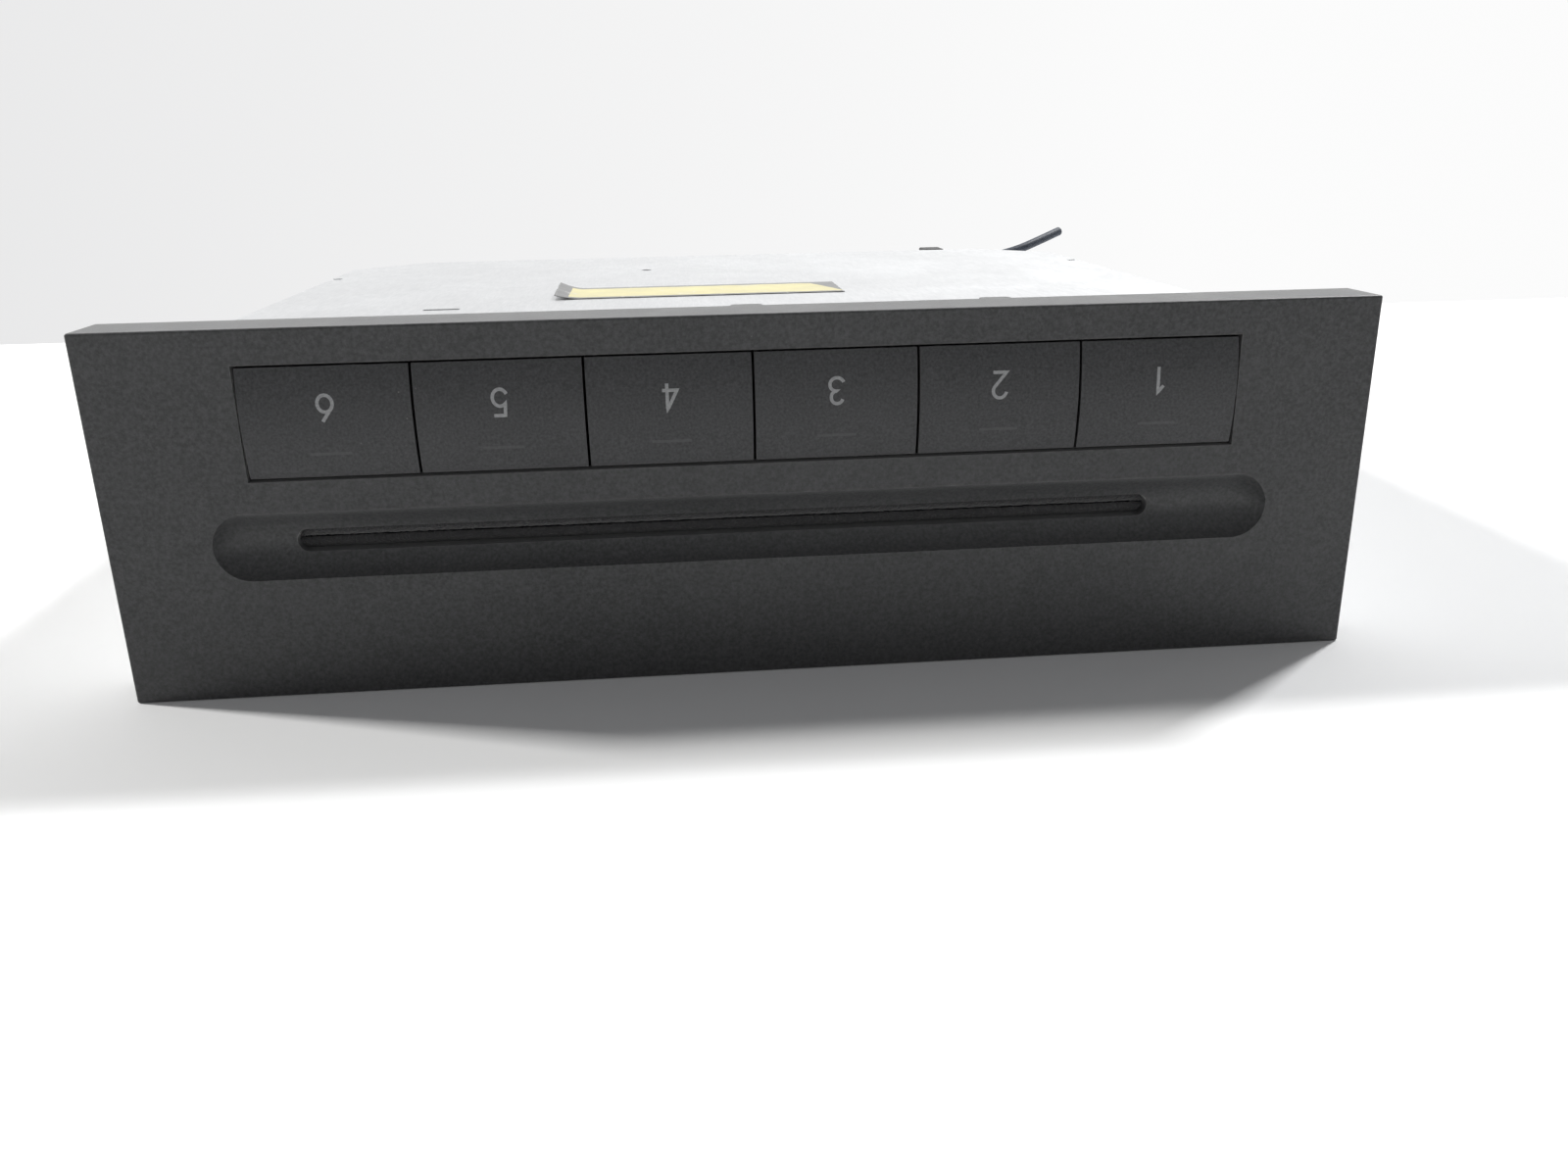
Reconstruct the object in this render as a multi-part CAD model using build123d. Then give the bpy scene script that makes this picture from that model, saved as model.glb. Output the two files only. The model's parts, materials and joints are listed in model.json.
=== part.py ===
from build123d import *
import math
import os

# Slot-loading in-dash changer for six discs, in millimetres.
# Everything is drawn the right way up: X runs to the right of someone facing
# the front, depth runs back from the fascia's front plane and Z is up.
# Each finished shape is then turned over by laid_down, so that the unit lies
# on its top with its underside showing and the origin under its middle.

# Fascia
face_overhang = 3.0
face_height = 54.5
face_depth = 10.3
face_wall = 2.6
face_rim = 2.2
face_edge = 0.35
tongue_width = 4.7
tongue_reach = 2.2
tongue_low = 0.1
tongue_places = (0.0, -37.8)

# Disc and its way in
disc_radius = 60.0
disc_thickness = 1.2
slot_x = 3.3
slot_z = 31.15
slot_margin = 4.0
slot_height = 3.4
trough_length = 156.8
trough_height = 10.1
trough_depth = 3.0
trough_wall = 2.4
trough_boss_margin = 2.2
felt_thickness = 1.0
felt_height = 3.0
felt_gap = 1.6
felt_overhang = 2.0

# Buttons
button_count = 6
button_pitch = 23.95
button_gap = 0.4
button_low = 5.4
button_high = 21.1
button_crown = 0.9
button_recess = 0.3
button_wall = 1.2
button_skirt = 4.4
button_travel = 0.8
button_lip = 1.0
window_gap_low = 0.35
window_gap_high = 0.45
plunger_width = 8.0
plunger_height = 6.4
plunger_clearance = 0.2
switch_size = 6.0
switch_body = 0.9
switch_stem = 0.35
switch_stem_radius = 1.5
switch_reserve = 0.05
led_width = 1.6
led_height = 0.8
led_rise = 0.8
frame_thickness = 1.0
frame_margin = 3.95
frame_low = 3.4
frame_high = 23.0
board_margin = 2.0
board_low = 3.6
board_high = 23.2
board_thickness = 1.1

# Sheet metal housing
sheet = 0.8
corner_cut = 16.0
panel_step = 0.6
panel_margin = 7.5
panel_front = 24.0
panel_back_margin = 8.0
low_flange = 5.4
high_flange = 8.5
flange_front = 12.0
flange_back_margin = 18.0
notch_depth = 135.0
notch_length = 3.0
slit_x = 53.3
slit_depth = 63.0
slit_length = 6.6
slit_width = 1.8
dimple_x = 16.0
dimple_depth = 131.0
dimple_radius = 1.2
label_x = 5.0
label_depth = 83.0
label_width = 57.0
label_length = 19.0
label_thickness = 0.15
groove_depth = 0.4
groove_width = 3.0
groove_inset = 22.0
groove_front = 40.0
groove_back = 140.0

# Fasteners
screw_radius = 1.2
screw_hole = 1.25
screw_head_radius = 2.2
screw_head_height = 1.2
screw_length = 5.0
side_hole_radius = 2.0
side_nut_radius = 3.5
side_nut_height = 2.5
side_hole_front = 40.0
side_hole_back = 140.0
side_hole_low = 14.0
side_hole_high = 39.5
face_screw_margin = 3.7
face_screw_heights = (12.0, 46.0)
face_boss_radius = 3.0

# Loading drive
running_gap = 0.05
gear_module = 0.6
roller_teeth = 16
idler_teeth = 30
gear_width = 3.0
gear_bracket_gap = 7.0
roller_depth = 25.0
roller_radius = 4.0
roller_waist = 3.5
roller_gap = 0.2
roller_end_gap = 1.5
roller_shaft_radius = 1.5
roller_idler_angle = 5.0
bracket_disc_gap = 2.0
bracket_thickness = 1.2
bracket_front = 20.3
bracket_back = 28.2
bracket_high = 38.5
worm_core = 2.2
worm_crest = 3.45
worm_pitch_radius = 3.0
worm_length = 10.0
worm_ridge = 0.62
loading_motor_radius = 7.0
loading_motor_length = 25.0
loading_motor_gap = 3.5
motor_shaft_radius = 1.0
guide_depth = 10.5
guide_front = 21.0
guide_thickness = 1.0
guide_gap = 0.35
guide_end_gap = 2.0
guide_axis_rise = 4.5
guide_axis_setback = 1.5
shutter_axis_depth = 13.6
shutter_axis_z = 35.6
shutter_height = 6.8
shutter_thickness = 0.8
shutter_overlap = 1.0
shutter_pin_radius = 0.6

# Stack of trays: tray 3 stands level with the slot
tray_count = 6
play_tray = 3
tray_thickness = 0.8
tray_margin = 1.5
tray_shelf = 12.0
tray_pitch = 2.5
tray_ear_width = 7.0
tray_ear_radius = 6.5
tray_ear_root = 6.0
tray_rim_height = 0.8
tray_rim_width = 1.2
tray_rim_start = 20.0
tray_cut_half = 14.5
open_fall = 11.7
stack_front_gap = 2.0
stack_back_gap = 2.9
lift_right_gap = 9.7
lift_right_setback = 5.0
lift_back_offset = 17.3
lift_back_gap = 6.5
lift_left_gap = 15.8
lift_left_setback = 0.5
lift_core = 3.2
lift_crest = 4.0
lift_thread_pitch = 6.0
lift_thread_length = 17.0
lift_ridge = 1.4
spread_thread_pitch = 3.0
spread_thread_low = 34.0
spread_thread_length = 8.0
spread_ridge = 1.1
lift_clearance = 0.1
journal_radius = 2.0
lift_pulley_radius = 8.0
pulley_height = 2.25
floor_gap = 0.25
pulley_tray_gap = 0.35
motor_pulley_radius = 4.0
belt_thickness = 1.2
belt_height = 2.0
belt_gap = 0.3
stack_motor_side_gap = 1.2
stack_motor_inset = 8.5
stack_motor_radius = 10.0
stack_motor_low = 12.2
stack_motor_high = 36.0
deck_gap = 1.8
deck_thickness = 1.0
deck_front = 30.0

# Play unit, parked along the left wall and swung in under the disc
pivot_side_gap = 16.8
pivot_back_gap = 0.5
pivot_wall_gap = 13.4
post_radius = 3.0
post_foot_radius = 4.5
arm_low = 18.0
arm_thickness = 0.8
arm_half_width = 12.5
arm_hub_radius = 6.5
arm_heel_radius = 10.5
arm_hub_high = 30.0
arm_rail = 6.0
arm_window_front = 20.0
arm_window_back = 34.0
damper_radius = 2.6
damper_height = 1.6
damper_bore = 1.0
damper_offset = 8.6
damper_setback = 20.0
base_half_width = 11.5
base_thickness = 1.0
spindle_motor_radius = 9.5
spindle_motor_height = 4.8
turntable_radius = 12.8
turntable_low = 26.5
turntable_top = 28.3
hub_radius = 7.3
hub_height = 1.2
rod_radius = 0.9
rod_offset = 9.8
rod_z = 24.2
lead_offset = 5.6
lead_z = 25.0
lead_core = 1.0
lead_crest = 1.3
lead_pitch = 3.0
sled_motor_radius = 3.6
sled_motor_length = 12.0
sled_start = 24.0
sled_half_length = 7.0
sled_half_width = 11.6
sled_low = 22.0
sled_high = 27.0
lens_radius = 2.6
lens_height = 0.6
lug_low_start = 13.3
lug_high_start = 71.4
lug_thickness = 1.8
lug_high = 26.4
clamp_axis_setback = 10.0
clamp_axis_z = 34.6
clamp_low = 35.0
clamp_thickness = 1.2
clamp_half_width = 7.0
puck_radius = 9.0
puck_low = 32.3
puck_high = 34.6
puck_recess = 0.8
puck_pin_radius = 1.95
ear_inside = 9.6
ear_thickness = 1.2
ear_pin_radius = 1.0

# Main board
standoff_height = 3.2
board_lid_gap = 4.5
main_board_thickness = 1.6
main_board_side_gap = 8.4
main_board_front = 12.0
main_board_back_gap = 24.4
standoff_radius = 2.5
standoff_front = 38.0
standoff_back_margin = 20.0
standoff_wall_gap = 12.4
standoff_inner_gap = 30.4
capacitor_radius = 3.0
capacitor_height = 2.4
ribbon_thickness = 0.2
ribbon_width = 12.0
ribbon_wall_gap = 12.4
ribbon_z = 20.0
ribbon_depth = 12.1

# Sockets and the lead at the back
socket_x = 35.0
socket_width = 42.0
socket_low = 22.0
socket_high = 36.0
socket_inner_depth = 15.0
socket_wall = 2.0
socket_mouth_depth = 10.0
socket_pin_rows = 2
socket_pin_columns = 8
optic_corner_gap = 11.0
optic_width = 12.0
optic_low = 8.0
optic_high = 16.0
optic_inner_depth = 11.0
optic_proud = 0.4
plug_width = 10.0
plug_length = 10.4
plug_low = 7.0
plug_high = 14.5
latch_width = 5.5
latch_height = 0.9
lead_radius = 1.2
# Lead's way from the plug's side to its free end; depths as above
lead_route = (
    (-68.0, 181.0, 9.5),
    (-77.0, 181.0, 9.5),
    (-87.0, 182.0, 7.6),
    (-95.5, 187.2, 5.2),
    (-102.7, 192.7, 3.2),
)

# Values that follow from those above: the disc sets the trays, the trays set
# the places of the lift screws and the play unit's post, and those set the housing
slot_length = 2 * (disc_radius + slot_margin)
tray_outer = disc_radius + tray_margin
tray_inner = disc_radius - tray_shelf
stack_depth = guide_front + guide_depth + stack_front_gap + tray_outer
stack_back = stack_depth + tray_outer
lift_screw_places = (
    (slot_x + tray_outer + lift_right_gap, stack_depth + lift_right_setback),
    (slot_x - lift_back_offset, stack_back + lift_back_gap),
    (slot_x - tray_outer - lift_left_gap, stack_depth - tray_outer + lift_left_setback),
)
stack_motor_place = (slot_x + tray_outer + stack_motor_side_gap, stack_back - stack_motor_inset)
pivot_x = slot_x - tray_outer - pivot_side_gap
pivot_depth = stack_back + pivot_back_gap
housing_half = pivot_wall_gap - pivot_x + 2 * sheet
housing_back = stack_back + stack_back_gap + socket_inner_depth + 2 * sheet
face_half = housing_half + face_overhang
wall_outside = housing_half - sheet
wall_inside = wall_outside - sheet
back_inside = housing_back - 2 * sheet
flange_back = housing_back - flange_back_margin
face_screw_x = wall_outside - face_screw_margin
bracket_inside = disc_radius + bracket_disc_gap
gear_x = slot_x + bracket_inside + bracket_thickness + gear_bracket_gap
roller_half_length = bracket_inside - roller_end_gap
guide_half_length = bracket_inside - guide_end_gap
shutter_half_length = slot_length / 2 + shutter_overlap
main_board_half_width = wall_inside - main_board_side_gap
main_board_back = back_inside - main_board_back_gap
standoff_x = wall_inside - standoff_wall_gap
standoff_back = main_board_back - standoff_back_margin
standoff_places = (
    (standoff_inner_gap - wall_inside, standoff_front),
    (standoff_x, standoff_front),
    (-standoff_x, standoff_back),
    (standoff_x, standoff_back),
)
ribbon_x = ribbon_wall_gap - wall_inside
optic_x = corner_cut + optic_corner_gap - housing_half
plate_back = face_depth + sheet
crown_front = button_recess - button_crown
depth_shift = -(crown_front + housing_back + screw_head_height) / 2
disc_low = slot_z - disc_thickness / 2
open_rise = open_fall * spread_thread_pitch / lift_thread_pitch
deck_low = disc_low + tray_pitch * (play_tray - 1) + open_rise + tray_rim_height + deck_gap
deck_high = deck_low + deck_thickness
main_board_low = deck_low + standoff_height
lid_low = main_board_low + board_lid_gap
housing_high = lid_low + sheet
lowest_tray = disc_low - tray_pitch * (tray_count - play_tray) - open_fall - tray_thickness
floor_z = lowest_tray - pulley_tray_gap - pulley_height - floor_gap
base_low = floor_z - sheet
cover_low = base_low - sheet
housing_low = cover_low - panel_step
window_half = button_count * button_pitch / 2 + button_gap / 2
frame_half_width = window_half + frame_margin
board_half_width = frame_half_width + board_margin
roller_z = disc_low - roller_gap - roller_radius
gear_distance = gear_module * (roller_teeth + idler_teeth) / 2
idler_depth = roller_depth + gear_distance * math.cos(math.radians(roller_idler_angle))
idler_z = roller_z + gear_distance * math.sin(math.radians(roller_idler_angle))
tooth_pitch = math.pi * gear_module
worm_z = idler_z - gear_module * idler_teeth / 2 - worm_pitch_radius
reach = math.hypot(slot_x - pivot_x, stack_depth - pivot_depth)
park_depth = pivot_depth - reach
base_low_z = arm_low + arm_thickness + damper_height
base_high_z = base_low_z + base_thickness
front_end = trough_depth + trough_wall
board_back = face_depth - 0.3
board_front = board_back - board_thickness
switch_tip = board_front - switch_body - switch_stem
plunger_end = switch_tip - switch_reserve - button_travel


def slab(x, y, z):
    """A box from its low and high X, depth and Z."""
    size = (x[1] - x[0], y[1] - y[0], z[1] - z[0])
    middle = ((x[0] + x[1]) / 2, (y[0] + y[1]) / 2, (z[0] + z[1]) / 2)
    return Pos(*middle) * Box(*size)


def round_z(x, y, radius, low, high):
    return Pos(x, y, (low + high) / 2) * Cylinder(radius, high - low)


def round_x(y, z, radius, low, high):
    return Pos((low + high) / 2, y, z) * Rot(0, 90, 0) * Cylinder(radius, high - low)


def round_y(x, z, radius, low, high):
    return Pos(x, (low + high) / 2, z) * Rot(90, 0, 0) * Cylinder(radius, high - low)


def prism(points, low, high):
    """An upright prism over a closed outline of (X, depth) points."""
    outline = Polygon(*points, align=None)
    return Pos(0, 0, low) * extrude(outline, high - low)


def housing_outline(half_width, front, back, cut):
    """A rectangle whose two rear corners are cut off at 45 degrees."""
    return (
        (-half_width, front),
        (half_width, front),
        (half_width, back - cut),
        (half_width - cut, back),
        (-half_width + cut, back),
        (-half_width, back - cut),
    )


def inset_cut(inset):
    """The corner cut of an outline that lies inset inside the housing's."""
    return corner_cut - inset * (2 - math.sqrt(2))


def button_x(index):
    return (index - (button_count - 1) / 2) * button_pitch


def spur_gear(teeth, width, bore):
    """A spur gear along Z, one tooth centred on +X, with running backlash."""
    pitch_radius = gear_module * teeth / 2
    tip_radius = pitch_radius + 0.8 * gear_module
    root_radius = pitch_radius - 1.1 * gear_module
    step = 2 * math.pi / teeth
    flank = ((root_radius, 0.30), (pitch_radius, 0.20), (tip_radius, 0.105))
    points = []
    for tooth in range(teeth):
        middle = tooth * step
        for radius, share in flank:
            points.append((radius, middle - share * step))
        for radius, share in reversed(flank):
            points.append((radius, middle + share * step))
    outline = Polygon(*[(r * math.cos(a), r * math.sin(a)) for r, a in points], align=None)
    gear = extrude(outline, width)
    return gear - Pos(0, 0, width / 2) * Cylinder(bore, 2 * width)


def helical_ridge(core, crest, pitch, length, ridge, left_hand=False):
    """The ridge of a screw thread along Z, its foot sunk a little into the core."""
    path = Helix(pitch, length, core, lefthand=left_hand)
    foot = 0.15
    half = ridge / 2
    profile = Plane(origin=path @ 0, x_dir=(1, 0, 0), z_dir=path % 0) * Polygon(
        (-foot, -half), (crest - core, -0.6 * half), (crest - core, 0.6 * half), (-foot, half), align=None
    )
    return sweep(profile, path=path, is_frenet=True)


def threaded_rod(core, crest, pitch, length, ridge, end):
    """A rod along Z with one helical ridge, and plain ends beyond it."""
    rod = Pos(0, 0, length / 2) * Cylinder(core, length + 2 * end)
    return rod + helical_ridge(core, crest, pitch, length, ridge)


def face_screw(length):
    """A pan-head screw along Z, its head's seat at the origin, shank below."""
    head = Pos(0, 0, screw_head_height / 2) * Cylinder(screw_head_radius, screw_head_height)
    head = fillet(head.edges().group_by(Axis.Z)[-1], 0.5)
    slot_depth = 0.7
    cross = Box(2.4, 0.5, 2 * slot_depth) + Box(0.5, 2.4, 2 * slot_depth)
    shank = Pos(0, 0, -length / 2) * Cylinder(screw_radius, length)
    return head + shank - Pos(0, 0, screw_head_height) * cross


# ---------------------------------------------------------------- fascia


def front_bezel():
    outer = slab((-face_half, face_half), (0, face_depth), (0, face_height))
    outer = fillet(outer.edges(), face_edge)
    inside = face_half - face_rim
    shell = outer - slab((-inside, inside), (face_wall, face_depth + 1), (face_rim, face_height - face_rim))
    boss_half = trough_length / 2 + trough_boss_margin
    boss_rise = trough_height / 2 + trough_boss_margin
    shell += slab((-boss_half, boss_half), (face_wall / 2, front_end), (slot_z - boss_rise, slot_z + boss_rise))
    chord = trough_height / 2
    bowl = (chord**2 + trough_depth**2) / (2 * trough_depth)
    bowl_depth = trough_depth - bowl
    half_run = trough_length / 2 - chord
    shell -= round_x(bowl_depth, slot_z, bowl, -half_run, half_run)
    for end in (-half_run, half_run):
        shell -= Pos(end, bowl_depth, slot_z) * Sphere(bowl)
    slot_run = (slot_length - slot_height) / 2
    shell -= slab((slot_x - slot_run, slot_x + slot_run), (-1, front_end + 1),
                  (slot_z - slot_height / 2, slot_z + slot_height / 2))
    for end in (-slot_run, slot_run):
        shell -= round_y(slot_x + end, slot_z, slot_height / 2, -1, front_end + 1)
    shell -= slab((-window_half, window_half), (-1, face_wall + 1),
                  (button_low - window_gap_low, button_high + window_gap_high))
    for side in (-face_screw_x, face_screw_x):
        for height in face_screw_heights:
            shell += round_y(side, height, face_boss_radius, face_wall / 2, face_depth)
            shell -= round_y(side, height, screw_hole, face_wall + 1, face_depth + 1)
    for place in tongue_places:
        tongue = slab((place - tongue_width / 2, place + tongue_width / 2),
                      (face_depth - 1, face_depth + tongue_reach), (tongue_low, face_rim))
        shell += fillet(tongue.edges().filter_by(Axis.Z), 0.8)
    return shell


def button(index):
    half = (button_pitch - button_gap) / 2
    middle_z = (button_low + button_high) / 2
    half_height = (button_high - button_low) / 2
    radius = (half_height**2 + button_crown**2) / (2 * button_crown)
    block = slab((-half, half), (crown_front, button_skirt), (button_low, button_high))
    cap = block & round_x(crown_front + radius, middle_z, radius, -half, half)
    inner = half - button_wall
    cap -= slab((-inner, inner), (button_wall + button_recess, button_skirt + 1),
                (button_low + button_wall, button_high - button_wall))
    lip_front = face_wall + 0.6
    for low in (button_low - button_lip, button_high - button_wall):
        cap += slab((-inner, inner), (lip_front, button_skirt), (low, low + button_lip + button_wall))
    cap += slab((-plunger_width / 2, plunger_width / 2), (button_wall, plunger_end),
                (middle_z - plunger_height / 2, middle_z + plunger_height / 2))
    return Pos(button_x(index), 0, 0) * cap


def button_frame():
    front = button_skirt + button_travel + 0.2
    back = front + frame_thickness
    middle_z = (button_low + button_high) / 2
    plate = slab((-frame_half_width, frame_half_width), (front, back), (frame_low, frame_high))
    hole_half = plunger_width / 2 + plunger_clearance
    hole_rise = plunger_height / 2 + plunger_clearance
    for index in range(button_count):
        middle = button_x(index)
        plate -= slab((middle - hole_half, middle + hole_half), (front - 1, back + 1),
                      (middle_z - hole_rise, middle_z + hole_rise))
    rib = 2.0
    for side in (-frame_half_width, frame_half_width - rib):
        plate += slab((side, side + rib), (face_wall, front), (frame_low, frame_high))
    post = 1.4
    for side in (-frame_half_width + post, frame_half_width - post):
        for height in (frame_low + post, frame_high - post):
            plate += round_y(side, height, post, front, board_front)
    return plate


def front_pcb():
    board = slab((-board_half_width, board_half_width), (board_front, board_back), (board_low, board_high))
    return board


def button_switches():
    """A push switch behind each button, and a lamp above and below it."""
    middle_z = (button_low + button_high) / 2
    half = switch_size / 2
    lamp_offset = half + 1.6
    group = []
    for index in range(button_count):
        middle = button_x(index)
        body = slab((middle - half, middle + half), (board_front - switch_body, board_front),
                    (middle_z - half, middle_z + half))
        body += round_y(middle, middle_z, switch_stem_radius, switch_tip, board_front - switch_body / 2)
        group.append(body)
        for height in (middle_z - lamp_offset, middle_z + lamp_offset):
            group.append(slab((middle - led_width / 2, middle + led_width / 2),
                              (board_front - led_rise, board_front),
                              (height - led_height / 2, height + led_height / 2)))
    return Compound(group)


def slot_felt():
    half = slot_length / 2 + felt_overhang
    strips = []
    for low in (slot_z + felt_gap / 2, slot_z - felt_gap / 2 - felt_height):
        strips.append(slab((slot_x - half, slot_x + half), (front_end, front_end + felt_thickness),
                           (low, low + felt_height)))
    return Compound(strips)


# --------------------------------------------------------------- housing


def front_plate():
    plate = slab((-wall_outside, wall_outside), (face_depth, plate_back), (base_low, lid_low))
    window_half = slot_length / 2 + 3.0
    plate -= slab((slot_x - window_half, slot_x + window_half), (0, plate_back + 1),
                  (slot_z - 3.6, slot_z + 3.6))
    ribbon_half = ribbon_width / 2 + 1
    plate -= slab((ribbon_x - ribbon_half, ribbon_x + ribbon_half), (0, plate_back + 1),
                  (ribbon_z - 1, ribbon_z + 1))
    for side in (-face_screw_x, face_screw_x):
        for height in face_screw_heights:
            plate -= round_y(side, height, screw_hole, 0, plate_back + 1)
    ear_middle = shutter_half_length + 1.6
    for side in (slot_x - ear_middle, slot_x + ear_middle):
        ear = slab((side - 0.6, side + 0.6), (plate_back - 0.1, shutter_axis_depth + 1.8),
                   (shutter_axis_z - 1.8, shutter_axis_z + 1.8))
        plate += ear - round_x(shutter_axis_depth, shutter_axis_z, shutter_pin_radius + running_gap,
                               side - 1, side + 1)
    return plate


def side_screw_spots():
    """Places of the screws through the side flanges: depth, height."""
    low = cover_low + 3.1
    high = housing_high - 4.0
    return ((60.0, low), (120.0, low), (30.0, high), (120.0, high))


def rear_screw_places():
    return (-40.0, 40.0)


def chassis():
    inner = prism(housing_outline(wall_inside, plate_back - 1, back_inside, inset_cut(2 * sheet)),
                  floor_z, lid_low + 1)
    outer = prism(housing_outline(wall_outside, plate_back, back_inside + sheet, inset_cut(sheet)),
                  base_low, lid_low)
    tray = outer - inner
    for side in (-1, 1):
        low, high = sorted((side * (wall_inside - 1), side * (wall_outside + 1)))
        for depth, height in side_screw_spots():
            tray -= round_x(depth, height, screw_hole, low, high)
        for depth in (side_hole_front, side_hole_back):
            for height in (side_hole_low, side_hole_high):
                tray -= round_x(depth, height, side_hole_radius, low, high)
    for place in rear_screw_places():
        tray -= round_y(place, housing_high - 4.0, screw_hole, back_inside - 1, housing_back)
    for place in lift_screw_places:
        tray -= round_z(*place, journal_radius + running_gap, base_low - 1, floor_z + 1)
    tray -= slab((socket_x - socket_width / 2, socket_x + socket_width / 2),
                 (back_inside - 1, housing_back), (socket_low, socket_high))
    tray -= slab((optic_x - optic_width / 2, optic_x + optic_width / 2),
                 (back_inside - 1, housing_back), (optic_low, optic_high))
    tray -= slab((slit_x - slit_length / 2, slit_x + slit_length / 2),
                 (slit_depth - slit_width / 2, slit_depth + slit_width / 2), (base_low - 1, floor_z + 1))
    tray -= round_z(dimple_x, dimple_depth, dimple_radius, base_low - 1, floor_z + 1)
    return tray


def bottom_cover():
    border = prism(housing_outline(housing_half, face_depth, housing_back - sheet, corner_cut),
                   cover_low, base_low)
    panel_half = housing_half - panel_margin
    panel_back = housing_back - panel_back_margin
    panel_cut = corner_cut - 2
    panel = prism(housing_outline(panel_half, panel_front, panel_back, panel_cut), housing_low, housing_low + sheet)
    panel = chamfer(panel.edges().group_by(Axis.Z)[0], 0.5)
    hollow = prism(housing_outline(panel_half - sheet, panel_front + sheet, panel_back - sheet, panel_cut),
                   housing_low + sheet, base_low + 1)
    cover = border + panel - hollow
    flange_top = cover_low + low_flange
    for side in (-1, 1):
        low, high = sorted((side * wall_outside, side * housing_half))
        flange = slab((low, high), (flange_front, flange_back), (cover_low, flange_top))
        for depth, height in side_screw_spots()[:2]:
            flange -= round_x(depth, height, screw_hole, low - 1, high + 1)
        cover += flange
        notch_in = side * (housing_half - 2.2)
        cover -= slab(sorted((notch_in, side * (housing_half + 1))),
                      (notch_depth - notch_length / 2, notch_depth + notch_length / 2),
                      (housing_low - 1, cover_low + 2.4))
    cover -= slab((slit_x - slit_length / 2, slit_x + slit_length / 2),
                  (slit_depth - slit_width / 2, slit_depth + slit_width / 2), (housing_low - 1, base_low + 1))
    cover -= round_z(dimple_x, dimple_depth, dimple_radius, housing_low - 1, base_low + 1)
    return cover


def top_cover():
    lid = prism(housing_outline(housing_half, face_depth, housing_back, corner_cut), lid_low, housing_high)
    flange_low = housing_high - high_flange
    for side in (-1, 1):
        low, high = sorted((side * wall_outside, side * housing_half))
        flange = slab((low, high), (flange_front, flange_back), (flange_low, lid_low))
        for depth, height in side_screw_spots()[2:]:
            flange -= round_x(depth, height, screw_hole, low - 1, high + 1)
        lid += flange
    rear_half = housing_half - corner_cut - 3
    rear = slab((-rear_half, rear_half), (housing_back - sheet, housing_back), (flange_low, lid_low))
    for place in rear_screw_places():
        rear -= round_y(place, housing_high - 4.0, screw_hole, housing_back - 2, housing_back + 1)
    lid += rear
    for side in (-1, 1):
        middle = side * (housing_half - groove_inset)
        lid -= slab((middle - groove_width / 2, middle + groove_width / 2), (groove_front, groove_back),
                    (housing_high - groove_depth, housing_high + 1))
    return lid


def case_screws():
    group = []
    for side in (-1, 1):
        for depth, height in side_screw_spots():
            group.append(Pos(side * housing_half, depth, height) * Rot(0, 90 * side, 0) * face_screw(screw_length))
    for place in rear_screw_places():
        group.append(Pos(place, housing_back, housing_high - 4.0) * Rot(-90, 0, 0) * face_screw(screw_length))
    for side in (-face_screw_x, face_screw_x):
        for height in face_screw_heights:
            group.append(Pos(side, plate_back, height) * Rot(-90, 0, 0) * face_screw(screw_length))
    seat = main_board_low + main_board_thickness
    for place in standoff_places:
        group.append(Pos(*place, seat) * face_screw(screw_length))
    return Compound(group)


def side_nuts():
    group = []
    for side in (-1, 1):
        low, high = sorted((side * wall_inside, side * (wall_inside - side_nut_height)))
        for depth in (side_hole_front, side_hole_back):
            for height in (side_hole_low, side_hole_high):
                nut = round_x(depth, height, side_nut_radius, low, high)
                group.append(nut - round_x(depth, height, side_hole_radius, low - 1, high + 1))
    return Compound(group)


def blank_label():
    return slab((label_x - label_width / 2, label_x + label_width / 2),
                (label_depth - label_length / 2, label_depth + label_length / 2),
                (housing_low - label_thickness, housing_low))


# --------------------------------------------------------- loading drive


def roller_brackets():
    high = (roller_depth, roller_z, roller_shaft_radius + running_gap)
    guide_pin = (guide_front + guide_axis_setback, guide_axis_z(), ear_pin_radius + running_gap)
    group = []
    for side in (-1, 1):
        inner = slot_x + side * bracket_inside
        outer = inner + side * bracket_thickness
        low_x, high_x = sorted((inner, outer))
        back = bracket_back if side < 0 else idler_depth + 4
        plate = slab((low_x, high_x), (bracket_front, back), (floor_z, bracket_high))
        for depth, height, radius in (high, guide_pin):
            plate -= round_x(depth, height, radius, low_x - 1, high_x + 1)
        foot = sorted((inner, outer + side * 5))
        plate += slab(foot, (bracket_front, bracket_back - 4), (floor_z, floor_z + bracket_thickness))
        if side > 0:
            plate += round_x(idler_depth, idler_z, roller_shaft_radius, high_x - 0.5, gear_x + gear_width)
        group.append(plate)
    return Compound(group)


def guide_axis_z():
    return disc_low + disc_thickness + guide_gap + guide_axis_rise


def roller_shaft():
    left = slot_x - bracket_inside - bracket_thickness - 1
    shaft = round_x(roller_depth, roller_z, roller_shaft_radius, left, gear_x + gear_width)
    gear = spur_gear(roller_teeth, gear_width, roller_shaft_radius / 2)
    return shaft + place_gear(gear, roller_depth, roller_z, roller_idler_angle)


def loading_roller():
    ring = 0.02
    half = roller_half_length
    profile = Polygon(
        (roller_shaft_radius + ring, -half), (roller_radius, -half), (roller_waist, -6), (roller_waist, 6),
        (roller_radius, half), (roller_shaft_radius + ring, half), align=None
    )
    sleeve = revolve(Plane.XZ * profile, Axis.Z)
    return Pos(slot_x, roller_depth, roller_z) * Rot(0, 90, 0) * sleeve


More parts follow.
